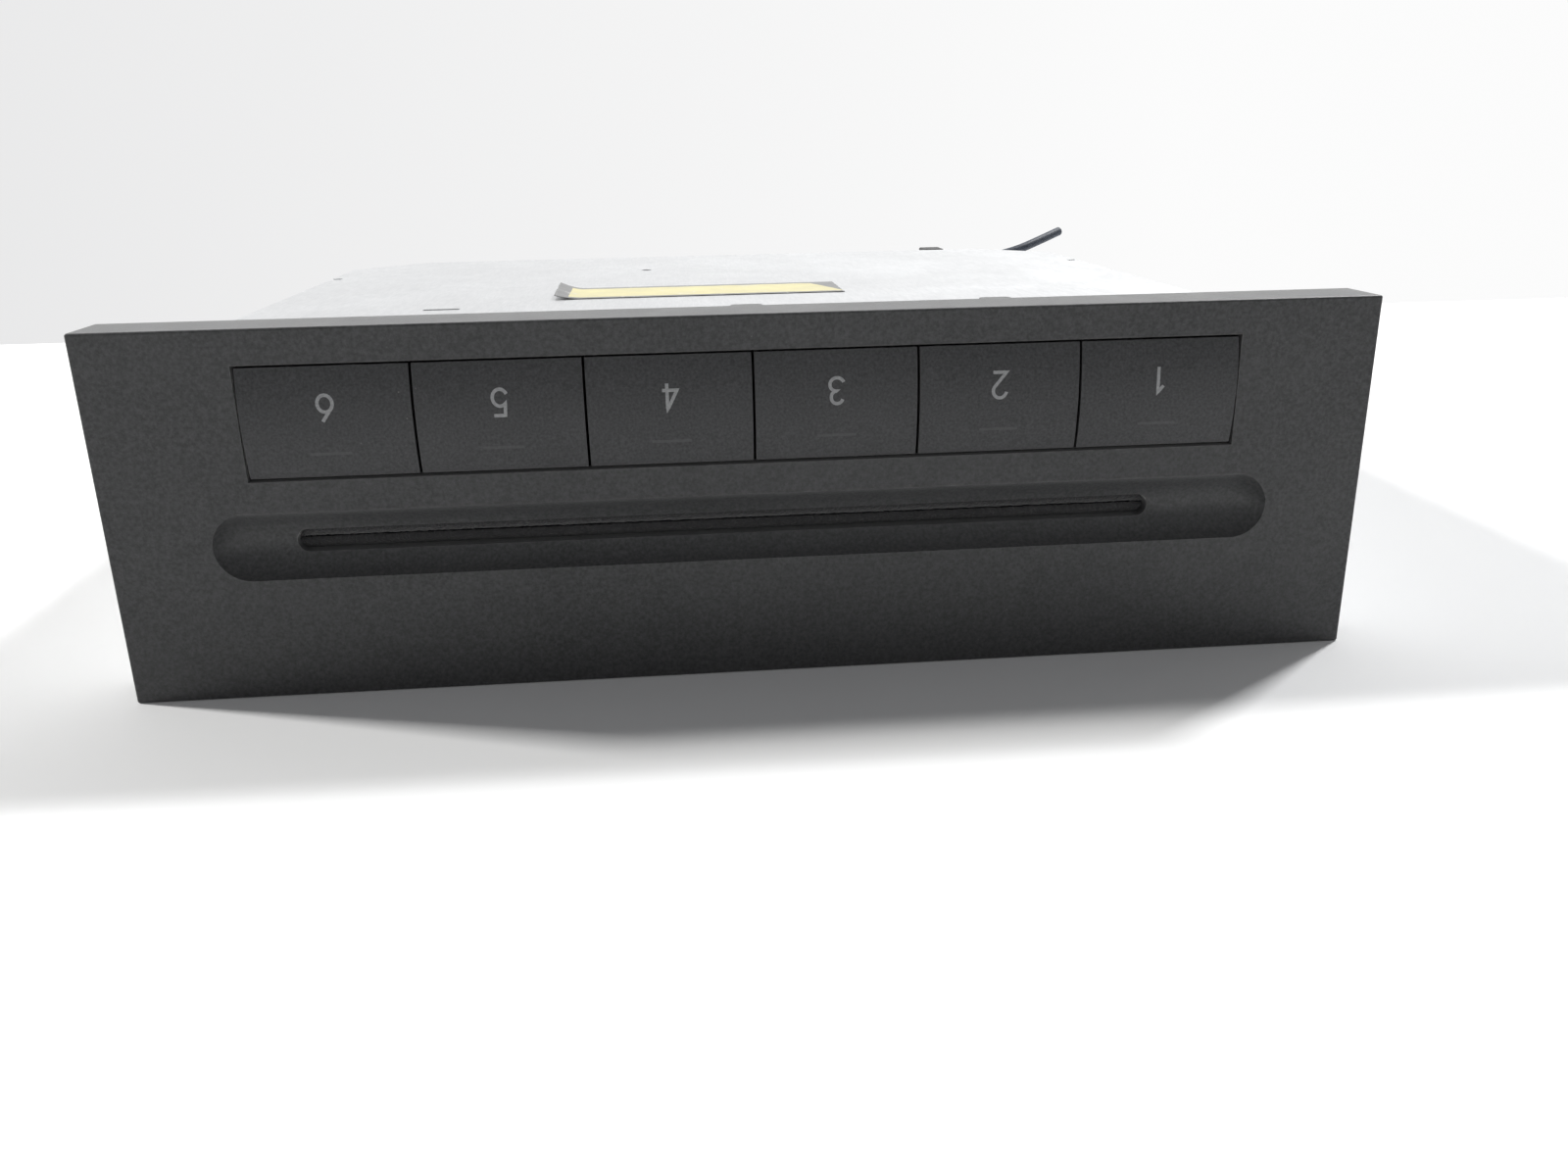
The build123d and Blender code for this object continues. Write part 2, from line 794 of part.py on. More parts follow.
def place_gear(gear, depth, height, turn):
    """Lay a gear made along Z on an axis along X; turn sets its tooth from depth towards Z."""
    return Pos(gear_x - gear_width / 2, depth, height) * Rot(turn, 0, 0) * Rot(0, 90, 0) * Rot(0, 0, 90) * gear


def idler_gear():
    gear = spur_gear(idler_teeth, gear_width, roller_shaft_radius + running_gap)
    half_tooth = 180 / idler_teeth
    return place_gear(gear, idler_depth, idler_z, 180 + roller_idler_angle + half_tooth)


def worm():
    end = 0.8
    rod = threaded_rod(worm_core, worm_crest, tooth_pitch, worm_length, worm_ridge, end)
    # The ridge meets the top of the worm three quarters of a turn after its start.
    gap_turn = math.radians((roller_idler_angle - 90) % (360 / idler_teeth))
    gap_place = idler_depth + gap_turn * gear_module * idler_teeth / 2
    start = gap_place - 0.75 * tooth_pitch - round(worm_length / 2 / tooth_pitch) * tooth_pitch
    shaft_end = idler_depth + worm_length / 2 + loading_motor_gap + 3.0
    shaft = round_y(gear_x, worm_z, motor_shaft_radius, start + worm_length, shaft_end)
    return Pos(gear_x, start, worm_z) * Rot(-90, 0, 0) * rod + shaft


def loading_motor():
    front = idler_depth + worm_length / 2 + loading_motor_gap
    can = round_y(gear_x, worm_z, loading_motor_radius, front, front + loading_motor_length)
    can = fillet(can.edges().filter_by(GeomType.CIRCLE), 0.8)
    can += round_y(gear_x, worm_z, 3.0, front + loading_motor_length - 1, front + loading_motor_length + 1.2)
    return can - round_y(gear_x, worm_z, motor_shaft_radius + running_gap, front - 1, front + 4)


def upper_guide():
    low = disc_low + disc_thickness + guide_gap
    axis_z = guide_axis_z()
    axis_depth = guide_front + guide_axis_setback
    guide = slab((slot_x - guide_half_length, slot_x + guide_half_length),
                 (guide_front, guide_front + guide_depth), (low, low + guide_thickness))
    lug = 1.6
    for side in (-1, 1):
        outer = slot_x + side * guide_half_length
        inner = outer - side * 2
        lug_x = sorted((inner, outer))
        guide += slab(lug_x, (axis_depth - lug, axis_depth + lug), (low, axis_z))
        guide += round_x(axis_depth, axis_z, lug, *lug_x)
        pin_end = slot_x + side * (bracket_inside + bracket_thickness)
        guide += round_x(axis_depth, axis_z, ear_pin_radius, *sorted((inner, pin_end)))
    return guide


def slot_shutter():
    half = shutter_half_length
    pin_half = half + 2.2
    flap = slab((slot_x - half, slot_x + half),
                (shutter_axis_depth - shutter_thickness / 2, shutter_axis_depth + shutter_thickness / 2),
                (shutter_axis_z - shutter_height, shutter_axis_z))
    flap += round_x(shutter_axis_depth, shutter_axis_z, 1.1, slot_x - half, slot_x + half)
    flap += round_x(shutter_axis_depth, shutter_axis_z, shutter_pin_radius, slot_x - pin_half, slot_x + pin_half)
    return flap


# -------------------------------------------------------- stack and lift


def tray_top(number):
    """Height of a tray's upper face with the stack parted for the play unit."""
    closed = disc_low - tray_pitch * (number - play_tray)
    if number < play_tray:
        return closed + open_rise
    if number > play_tray:
        return closed - open_fall
    return closed


def tray(number):
    top = tray_top(number)
    low = top - tray_thickness
    plate = round_z(slot_x, stack_depth, tray_outer, low, top)
    rim = round_z(slot_x, stack_depth, tray_outer, low, top + tray_rim_height)
    rim -= round_z(slot_x, stack_depth, tray_outer - tray_rim_width, low - 1, top + 2)
    rim -= slab((-housing_half, housing_half), (0, stack_depth + tray_rim_start), (low - 1, top + 2))
    plate += rim
    for place in lift_screw_places:
        run = math.hypot(place[0] - slot_x, place[1] - stack_depth)
        angle = math.degrees(math.atan2(place[1] - stack_depth, place[0] - slot_x))
        ear = slab((tray_inner + tray_ear_root, run), (-tray_ear_width / 2, tray_ear_width / 2), (low, top))
        plate += Pos(slot_x, stack_depth, 0) * Rot(0, 0, angle) * ear
        plate += round_z(*place, tray_ear_radius, low, top)
        plate -= round_z(*place, lift_crest + lift_clearance, low - 1, top + 1)
    plate -= round_z(slot_x, stack_depth, tray_inner, low - 1, top + 1)
    swing = math.degrees(math.atan2(pivot_depth - stack_depth, pivot_x - slot_x))
    cut = slab((0, tray_outer + 5), (-tray_cut_half, tray_cut_half), (low - 1, top + 2))
    return plate - Pos(slot_x, stack_depth, 0) * Rot(0, 0, swing) * cut


def lift_screw(place):
    foot = floor_z + floor_gap
    pulley_top = foot + pulley_height
    relief = 1.5
    screw = round_z(*place, lift_core, pulley_top - 1, deck_low - 0.2)
    screw += round_z(*place, journal_radius, base_low + 0.05, foot + 0.5)
    screw += round_z(*place, lift_pulley_radius, foot, pulley_top)
    screw += round_z(*place, journal_radius, deck_low - 1, deck_high)
    lower = helical_ridge(lift_core, lift_crest, lift_thread_pitch, lift_thread_length, lift_ridge)
    screw += Pos(*place, pulley_top + relief) * lower
    upper = helical_ridge(lift_core, lift_crest, spread_thread_pitch, spread_thread_length, spread_ridge, True)
    return screw + Pos(*place, spread_thread_low) * upper


def lift_belt():
    low = floor_z + floor_gap + (pulley_height - belt_height) / 2
    circles = [(place, lift_pulley_radius) for place in lift_screw_places]
    circles.append((stack_motor_place, motor_pulley_radius))

    def loop(offset):
        edges = []
        for place, radius in circles:
            edges += (Pos(*place) * Circle(radius + offset)).edges()
        return make_hull(edges)

    band = loop(belt_gap + belt_thickness) - loop(belt_gap)
    return Pos(0, 0, low) * extrude(band, belt_height)


def motor_pulley():
    low = floor_z + floor_gap
    pulley = round_z(*stack_motor_place, motor_pulley_radius, low, low + pulley_height)
    return pulley + round_z(*stack_motor_place, motor_shaft_radius, low, stack_motor_low + 4)


def stack_motor():
    can = round_z(*stack_motor_place, stack_motor_radius, stack_motor_low, stack_motor_high)
    can = fillet(can.edges().filter_by(GeomType.CIRCLE), 1.0)
    return can - round_z(*stack_motor_place, motor_shaft_radius + running_gap, stack_motor_low - 1,
                         stack_motor_low + 5)


def motor_brackets():
    """A saddle under the loading motor and a table under the stack motor."""
    front = idler_depth + worm_length / 2 + loading_motor_gap + 5
    saddle_half = loading_motor_radius
    saddle = slab((gear_x - saddle_half, gear_x + saddle_half), (front, front + 8), (floor_z, worm_z - 2))
    saddle -= round_y(gear_x, worm_z, loading_motor_radius + 0.02, front - 1, front + 9)
    x, y = stack_motor_place
    half = 12.0
    back = y + 12.4
    leg = 3.0
    plate = slab((x - half, x + half), (y - half, back), (stack_motor_low - 1, stack_motor_low))
    plate -= round_z(x, y, 3.0, stack_motor_low - 2, stack_motor_low + 1)
    for leg_x, leg_y in ((x - half, back - leg), (x + half - leg, back - leg), (x - half, y - half)):
        plate += slab((leg_x, leg_x + leg), (leg_y, leg_y + leg), (floor_z, stack_motor_low))
    return Compound([saddle, plate])


def upper_deck():
    deck = prism(housing_outline(wall_inside, deck_front, back_inside, inset_cut(2 * sheet)), deck_low, deck_high)
    deck -= round_z(slot_x, stack_depth, tray_inner, deck_low - 1, deck_high + 1)
    for place in lift_screw_places:
        deck -= round_z(*place, journal_radius + running_gap, deck_low - 1, deck_high + 1)
    for place in standoff_places:
        deck += round_z(*place, standoff_radius, deck_low, main_board_low)
        deck -= round_z(*place, screw_hole, deck_low - 1, main_board_low + 1)
    return deck


# ------------------------------------------------------------- play unit


def swing_post():
    post = round_z(pivot_x, pivot_depth, post_foot_radius, floor_z, arm_low - 0.1)
    return post + round_z(pivot_x, pivot_depth, post_radius, floor_z, deck_low)


def lane(half_width, front, back, low, high):
    """A strip along the parked unit, from the turntable's axis back."""
    return slab((pivot_x - half_width, pivot_x + half_width), (park_depth + front, park_depth + back), (low, high))


def swing_arm():
    top = arm_low + arm_thickness
    plate = lane(arm_half_width, 0, reach, arm_low, top)
    plate += round_z(pivot_x, park_depth, arm_half_width, arm_low, top)
    plate += round_z(pivot_x, pivot_depth, arm_heel_radius, arm_low, top)
    plate -= lane(arm_half_width - arm_rail, arm_window_front, reach - arm_window_back, arm_low - 1, top + 1)
    plate += round_z(pivot_x, pivot_depth, arm_hub_radius, arm_low, arm_hub_high)
    plate -= round_z(pivot_x, pivot_depth, post_radius + running_gap, arm_low - 1, arm_hub_high + 1)
    axis_depth = pivot_depth - clamp_axis_setback
    for side in (-1, 1):
        inner = pivot_x + side * ear_inside
        ear_x = sorted((inner, inner + side * ear_thickness))
        ear = slab(ear_x, (axis_depth - 3, axis_depth + 3), (arm_low, clamp_axis_z + 2))
        plate += ear - round_x(axis_depth, clamp_axis_z, ear_pin_radius + running_gap, ear_x[0] - 1, ear_x[1] + 1)
    return plate


def damper_spots():
    front = park_depth + lug_low_start + 1
    back = pivot_depth - damper_setback
    return ((pivot_x - damper_offset, front), (pivot_x + damper_offset, front), (pivot_x, back))


def traverse_dampers():
    low = arm_low + arm_thickness
    group = []
    for place in damper_spots():
        ring = round_z(*place, damper_radius, low, low + damper_height)
        group.append(ring - round_z(*place, damper_bore, low - 1, low + damper_height + 1))
    return Compound(group)


def traverse_base():
    back = reach - 14.5
    plate = lane(base_half_width, 0, back, base_low_z, base_high_z)
    plate += round_z(pivot_x, park_depth, base_half_width, base_low_z, base_high_z)
    plate -= lane(7.0, lug_low_start + 6, lug_high_start - 2, base_low_z - 1, base_high_z + 1)
    for start in (lug_low_start, lug_high_start):
        lug = lane(base_half_width, start, start + lug_thickness, base_low_z, lug_high)
        for side in (-rod_offset, rod_offset):
            lug -= round_y(pivot_x + side, rod_z, rod_radius, 0, housing_back)
        lug -= round_y(pivot_x + lead_offset, lead_z, lead_core + running_gap, 0, housing_back)
        plate += lug
    return plate


def spindle_motor():
    top = base_high_z + spindle_motor_height
    can = round_z(pivot_x, park_depth, spindle_motor_radius, base_high_z, top)
    return can - round_z(pivot_x, park_depth, motor_shaft_radius + running_gap, base_high_z + 0.6, top + 1)


def turntable():
    low = base_high_z + 0.8
    disc = round_z(pivot_x, park_depth, turntable_radius, turntable_low, turntable_top)
    cone = Pos(pivot_x, park_depth, turntable_top + hub_height / 2) * Cone(hub_radius, hub_radius - 0.9, hub_height)
    return disc + cone + round_z(pivot_x, park_depth, motor_shaft_radius, low, turntable_low + 0.5)


def guide_rods():
    group = []
    for side in (-rod_offset, rod_offset):
        group.append(round_y(pivot_x + side, rod_z, rod_radius, park_depth + lug_low_start,
                             park_depth + lug_high_start + lug_thickness))
    return Compound(group)


def sled_lead_screw():
    start = park_depth + lug_low_start
    end = park_depth + lug_high_start + lug_thickness
    thread_start = start + lug_thickness + 0.6
    run = math.floor((lug_high_start - lug_low_start - lug_thickness - 1.2) / lead_pitch) * lead_pitch
    rod = threaded_rod(lead_core, lead_crest, lead_pitch, run, 0.8, 0.0)
    screw = Pos(pivot_x + lead_offset, thread_start, lead_z) * Rot(-90, 0, 0) * rod
    return screw + round_y(pivot_x + lead_offset, lead_z, lead_core, start, end + 2.4)


def sled_motor():
    start = park_depth + lug_high_start + lug_thickness
    can = round_y(pivot_x + lead_offset, lead_z, sled_motor_radius, start, start + sled_motor_length)
    return can - round_y(pivot_x + lead_offset, lead_z, lead_core + running_gap, start - 1, start + 3)


def pickup_sled():
    front = sled_start - sled_half_length
    back = sled_start + sled_half_length
    body = lane(sled_half_width, front, back, sled_low, sled_high)
    body -= lane(4.0, sled_start + 3.4, back + 1, sled_high - 1.5, sled_high + 1)
    for side in (-rod_offset, rod_offset):
        body -= round_y(pivot_x + side, rod_z, rod_radius + running_gap, 0, housing_back)
    return body - round_y(pivot_x + lead_offset, lead_z, lead_crest + running_gap, 0, housing_back)


def objective_lens():
    place = park_depth + sled_start
    mount = round_z(pivot_x, place, lens_radius, sled_high, sled_high + lens_height)
    return mount - Pos(pivot_x, place, sled_high + lens_height + 1.6) * Sphere(2.1)


def clamp_arm():
    axis_depth = pivot_depth - clamp_axis_setback
    high = clamp_low + clamp_thickness
    plate = lane(clamp_half_width, 0, axis_depth - park_depth, clamp_low, high)
    plate += round_z(pivot_x, park_depth, clamp_half_width + 1, clamp_low, high)
    barrel = 2.2
    plate += round_x(axis_depth, clamp_axis_z, barrel, pivot_x - ear_inside + 0.2, pivot_x + ear_inside - 0.2)
    pin_half = ear_inside + ear_thickness
    plate += round_x(axis_depth, clamp_axis_z, ear_pin_radius, pivot_x - pin_half, pivot_x + pin_half)
    rib = 0.8
    for side in (-clamp_half_width, clamp_half_width - rib):
        plate += slab((pivot_x + side, pivot_x + side + rib), (park_depth + 10, axis_depth), (clamp_low, high + 0.8))
    return plate - round_z(pivot_x, park_depth, puck_pin_radius + running_gap, clamp_low - 1, high + 1)


def clamp_puck():
    high = clamp_low + clamp_thickness
    puck = round_z(pivot_x, park_depth, puck_radius, puck_low, puck_high)
    puck -= round_z(pivot_x, park_depth, hub_radius + 0.2, puck_low - 1, puck_low + puck_recess)
    puck += round_z(pivot_x, park_depth, puck_pin_radius, puck_high - 0.5, high + 0.2)
    return puck + round_z(pivot_x, park_depth, 3.0, high + 0.2, high + 0.8)


# ----------------------------------------------------------- electronics


def main_pcb():
    high = main_board_low + main_board_thickness
    board = slab((-main_board_half_width, main_board_half_width), (main_board_front, main_board_back),
                 (main_board_low, high))
    for place in standoff_places:
        board -= round_z(*place, screw_hole, main_board_low - 1, high + 1)
    return board


def main_pcb_chips():
    """Parts on the main board: X, depth, width, length, height."""
    low = main_board_low + main_board_thickness
    boxes = (
        (-40, 60, 20, 20, 1.4), (-8, 62, 14, 14, 1.2), (20, 58, 10, 18, 1.0), (44, 62, 12, 12, 1.6),
        (-50, 100, 16, 8, 1.6), (-20, 104, 8, 8, 1.0), (8, 98, 18, 10, 1.2), (40, 102, 10, 10, 1.4),
        (-30, 136, 24, 6, 2.2), (12, 138, 12, 8, 1.6), (48, 136, 9, 9, 2.2), (0, 26, 30, 5, 1.8),
    )
    group = []
    for x, y, width, length, height in boxes:
        group.append(slab((x - width / 2, x + width / 2), (y - length / 2, y + length / 2), (low, low + height)))
    for x, y in ((62, 84), (62, 94), (-64, 84), (-64, 94), (-64, 120)):
        group.append(round_z(x, y, capacitor_radius, low, low + capacitor_height))
    return Compound(group)


def front_ribbon():
    half = ribbon_width / 2
    across = (ribbon_x - half, ribbon_x + half)
    back = ribbon_depth + ribbon_thickness
    level = (ribbon_z - ribbon_thickness / 2, ribbon_z + ribbon_thickness / 2)
    strip = slab(across, (board_back, back), level)
    return strip + slab(across, (ribbon_depth, back), (level[0], main_board_low))


def rear_sockets():
    """The main connector's shroud and the closed socket the lead plugs into."""
    half = socket_width / 2
    front = back_inside - socket_inner_depth
    body = slab((socket_x - half, socket_x + half), (front, housing_back - sheet), (socket_low, socket_high))
    mouth_front = housing_back - sheet - socket_mouth_depth
    body -= slab((socket_x - half + socket_wall, socket_x + half - socket_wall),
                 (mouth_front, housing_back + 1), (socket_low + socket_wall, socket_high - socket_wall))
    optic_half = optic_width / 2
    optic = slab((optic_x - optic_half, optic_x + optic_half), (back_inside - optic_inner_depth, plug_front()),
                 (optic_low, optic_high))
    return Compound([body, optic])


def socket_pins():
    front = housing_back - sheet - socket_mouth_depth
    middle = (socket_low + socket_high) / 2
    pitch = 4.0
    group = []
    for row in range(socket_pin_rows):
        height = middle + (row - (socket_pin_rows - 1) / 2) * pitch
        for column in range(socket_pin_columns):
            x = socket_x + (column - (socket_pin_columns - 1) / 2) * pitch
            group.append(slab((x - 0.4, x + 0.4), (front, front + 2.6), (height - 0.4, height + 0.4)))
    return Compound(group)


def plug_front():
    return housing_back - sheet + optic_proud


def lead_plug():
    half = plug_width / 2
    front = plug_front()
    back = front + plug_length
    body = slab((optic_x - half, optic_x + half), (front, back), (plug_low, plug_high))
    body = fillet(body.edges().group_by(Axis.Y)[-1], 0.8)
    latch = slab((optic_x - latch_width / 2, optic_x + latch_width / 2), (front + 2.4, back - 1),
                 (plug_low - latch_height, plug_low + 1))
    return body + fillet(latch.edges().group_by(Axis.Z)[0], 0.4)


def lead():
    points = [Vector(*point) for point in lead_route]
    radii = []
    for before, here, after in zip(points, points[1:], points[2:]):
        run_in = here - before
        run_out = after - here
        half_turn = math.radians(run_in.get_angle(run_out)) / 2
        radii.append(0.45 * min(run_in.length, run_out.length) / math.tan(half_turn))
    path = FilletPolyline(*points, radius=radii)
    start = path % 0
    tube = sweep(Plane(origin=path @ 0, z_dir=start) * Circle(lead_radius), path=path)
    print("lead radii", [round(radius, 1) for radius in radii])
    print("lead length", round(path.length, 2), "volume", round(tube.volume, 2),
          "section times length", round(math.pi * lead_radius**2 * path.length, 2))
    return tube


def laid_down(shape):
    """Turn a shape over onto the unit's top, its front still facing -Y."""
    return Pos(0, depth_shift, face_height) * Rot(0, 180, 0) * shape


nodes = {
    "front_bezel": front_bezel(),
    "button_frame": button_frame(),
    "front_pcb": front_pcb(),
    "button_switches": button_switches(),
    "slot_felt": slot_felt(),
    "front_plate": front_plate(),
    "chassis": chassis(),
    "bottom_cover": bottom_cover(),
    "top_cover": top_cover(),
    "case_screws": case_screws(),
    "side_nuts": side_nuts(),
    "blank_label": blank_label(),
    "roller_brackets": roller_brackets(),
    "roller_shaft": roller_shaft(),
    "loading_roller": loading_roller(),
    "idler_gear": idler_gear(),
    "loading_worm": worm(),
    "loading_motor": loading_motor(),
    "upper_guide": upper_guide(),
    "slot_shutter": slot_shutter(),
    "lift_belt": lift_belt(),
    "motor_pulley": motor_pulley(),
    "stack_motor": stack_motor(),
    "motor_brackets": motor_brackets(),
    "upper_deck": upper_deck(),
    "swing_post": swing_post(),
    "swing_arm": swing_arm(),
    "traverse_dampers": traverse_dampers(),
    "traverse_base": traverse_base(),
    "spindle_motor": spindle_motor(),
    "turntable": turntable(),
    "guide_rods": guide_rods(),
    "sled_lead_screw": sled_lead_screw(),
    "sled_motor": sled_motor(),
    "pickup_sled": pickup_sled(),
    "objective_lens": objective_lens(),
    "clamp_arm": clamp_arm(),
    "clamp_puck": clamp_puck(),
    "main_pcb": main_pcb(),
    "main_pcb_chips": main_pcb_chips(),
    "front_ribbon": front_ribbon(),
    "rear_sockets": rear_sockets(),
    "socket_pins": socket_pins(),
    "lead_plug": lead_plug(),
    "lead": lead(),
}
for index in range(button_count):
    nodes[f"button_{index + 1}"] = button(index)
for number in range(1, tray_count + 1):
    nodes[f"tray_{number}"] = tray(number)
for letter, place in zip("abc", lift_screw_places):
    nodes[f"lift_screw_{letter}"] = lift_screw(place)

os.makedirs("parts", exist_ok=True)
for name, shape in nodes.items():
    export_step(laid_down(shape), f"parts/{name}.step")
print(len(nodes), "nodes, depth shift", round(depth_shift, 3))
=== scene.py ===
import json
import math
import random

import bmesh
import bpy
from mathutils import Matrix, Vector


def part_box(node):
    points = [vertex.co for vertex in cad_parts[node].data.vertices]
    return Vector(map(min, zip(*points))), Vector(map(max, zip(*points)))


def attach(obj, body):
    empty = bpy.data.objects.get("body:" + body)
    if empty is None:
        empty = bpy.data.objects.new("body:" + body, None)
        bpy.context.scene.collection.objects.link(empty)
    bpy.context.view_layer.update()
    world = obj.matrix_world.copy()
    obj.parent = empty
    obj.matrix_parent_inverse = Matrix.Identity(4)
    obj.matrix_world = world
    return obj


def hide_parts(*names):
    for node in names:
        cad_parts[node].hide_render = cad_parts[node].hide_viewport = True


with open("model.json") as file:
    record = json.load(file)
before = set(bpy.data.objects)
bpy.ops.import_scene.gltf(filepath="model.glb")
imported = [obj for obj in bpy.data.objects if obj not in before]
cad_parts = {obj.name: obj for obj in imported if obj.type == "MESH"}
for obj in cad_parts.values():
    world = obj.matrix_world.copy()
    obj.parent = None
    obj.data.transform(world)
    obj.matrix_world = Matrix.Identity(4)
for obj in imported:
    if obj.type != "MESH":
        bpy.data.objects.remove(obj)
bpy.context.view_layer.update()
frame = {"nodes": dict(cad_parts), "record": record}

MM = 0.001
FACE_HEIGHT = 54.5
DEPTH_SHIFT = -88.3


def at(x, depth, z):
    """A point given as part.py gives it, the right way up, as it lies here, in metres."""
    return Vector((-x * MM, (depth + DEPTH_SHIFT) * MM, (FACE_HEIGHT - z) * MM))


# ------------------------------------------------------------------ camera

# The photograph's view: its axes and place in metres, its sensor and lens in mm
CAMERA_RIGHT = Vector((0.995458, -0.093630, -0.017242))
CAMERA_DOWN = Vector((-0.047179, -0.327843, -0.943554))
CAMERA_FORWARD = Vector((0.082692, 0.940081, -0.330771))
CAMERA_PLACE = Vector((-0.012095, -0.269831, 0.077302))
SENSOR_WIDTH = 36.0
LENS = 29.25
NEAREST = 0.01
FURTHEST = 20.0

scene = bpy.context.scene
scene.view_settings.view_transform = "Standard"

camera = bpy.data.objects.new("camera", bpy.data.cameras.new("camera"))
camera.data.sensor_width = SENSOR_WIDTH
camera.data.lens = LENS
camera.data.clip_start = NEAREST
camera.data.clip_end = FURTHEST
turn = Matrix((CAMERA_RIGHT, -CAMERA_DOWN, -CAMERA_FORWARD)).transposed()
camera.matrix_world = Matrix.Translation(CAMERA_PLACE) @ turn.to_4x4()
scene.collection.objects.link(camera)
scene.camera = camera

# --------------------------------------------------------------- materials


class Shader:
    """A material's node tree, with short calls for the nodes used here."""

    def __init__(self, name):
        self.material = bpy.data.materials.new(name)
        self.material.use_nodes = True
        self.tree = self.material.node_tree
        self.bsdf = self.tree.nodes["Principled BSDF"]
        self.place = self.node("ShaderNodeTexCoord").outputs["Object"]

    def node(self, kind, **values):
        made = self.tree.nodes.new(kind)
        for key, value in values.items():
            setattr(made, key, value)
        return made

    def link(self, source, target):
        """Joins two sockets, or sets the target to a plain value."""
        if isinstance(source, bpy.types.NodeSocket):
            self.tree.links.new(source, target)
        else:
            target.default_value = source

    def stretched(self, x, y, z):
        mapping = self.node("ShaderNodeMapping")
        mapping.inputs["Scale"].default_value = (x, y, z)
        self.link(self.place, mapping.inputs["Vector"])
        return mapping.outputs["Vector"]

    def noise(self, scale, detail=3.0, roughness=0.5, distortion=0.0, vector=None):
        made = self.node("ShaderNodeTexNoise")
        made.inputs["Scale"].default_value = scale
        made.inputs["Detail"].default_value = detail
        made.inputs["Roughness"].default_value = roughness
        made.inputs["Distortion"].default_value = distortion
        self.link(vector or self.place, made.inputs["Vector"])
        return made.outputs["Fac"]

    def cells(self, scale, vector=None):
        made = self.node("ShaderNodeTexVoronoi")
        made.inputs["Scale"].default_value = scale
        self.link(vector or self.place, made.inputs["Vector"])
        return made.outputs["Distance"], made.outputs["Color"]

    def ramp(self, source, low, high, start=0.0, end=1.0):
        made = self.node("ShaderNodeMapRange")
        made.clamp = True
        self.link(source, made.inputs["Value"])
        made.inputs["From Min"].default_value = low
        made.inputs["From Max"].default_value = high
        made.inputs["To Min"].default_value = start
        made.inputs["To Max"].default_value = end
        return made.outputs["Result"]

    def math(self, operation, a, b=0.0):
        made = self.node("ShaderNodeMath", operation=operation)
        self.link(a, made.inputs[0])
        self.link(b, made.inputs[1])
        return made.outputs[0]

    def mix(self, share, a, b):
        made = self.node("ShaderNodeMix", data_type="RGBA")
        self.link(share, made.inputs["Factor"])
        for socket, value in ((made.inputs[6], a), (made.inputs[7], b)):
            if isinstance(value, tuple):
                value = (*value, 1.0)
            self.link(value, socket)
        return made.outputs[2]

    def edge(self, radius, low=0.02, high=0.25):
        """1 on sharp edges within radius, 0 on flats, broken up by a noise."""
        bevel = self.node("ShaderNodeBevel", samples=3)
        bevel.inputs["Radius"].default_value = radius
        plain = self.node("ShaderNodeNewGeometry")
        dot = self.node("ShaderNodeVectorMath", operation="DOT_PRODUCT")
        self.link(bevel.outputs["Normal"], dot.inputs[0])
        self.link(plain.outputs["Normal"], dot.inputs[1])
        bend = self.math("SUBTRACT", 1.0, dot.outputs["Value"])
        broken = self.ramp(self.noise(900.0, 4.0), 0.35, 0.65)
        return self.math("MULTIPLY", self.ramp(bend, low, high), broken)

    def bump(self, height, strength, distance, below=None):
        made = self.node("ShaderNodeBump")
        made.inputs["Strength"].default_value = strength
        made.inputs["Distance"].default_value = distance
        self.link(height, made.inputs["Height"])
        if below is not None:
            self.link(below, made.inputs["Normal"])
        return made.outputs["Normal"]

    def finish(self, colour, roughness, normal=None, metallic=0.0, specular=0.5, **others):
        sockets = self.bsdf.inputs
        self.link(colour, sockets["Base Color"])
        self.link(roughness, sockets["Roughness"])
        sockets["Metallic"].default_value = metallic
        sockets["Specular IOR Level"].default_value = specular
        if normal is not None:
            self.link(normal, sockets["Normal"])
        for name, value in others.items():
            self.link(value, sockets[name.replace("_", " ")])
        return self.material


def scaled(colour, factor, lift=0.0):
    """A colour made lighter or darker, held at white."""
    return tuple(min(1.0, factor * c + lift) for c in colour)


# What settles and rubs on the surfaces, shared by the materials below
DUST = (0.32, 0.31, 0.29)
GREASE = (0.36, 0.28, 0.14)
GREASE_ON_METAL = (0.2, 0.17, 0.13)
RUBBED_FOIL = (0.82, 0.81, 0.76)
FLUX = (0.5, 0.5, 0.42)


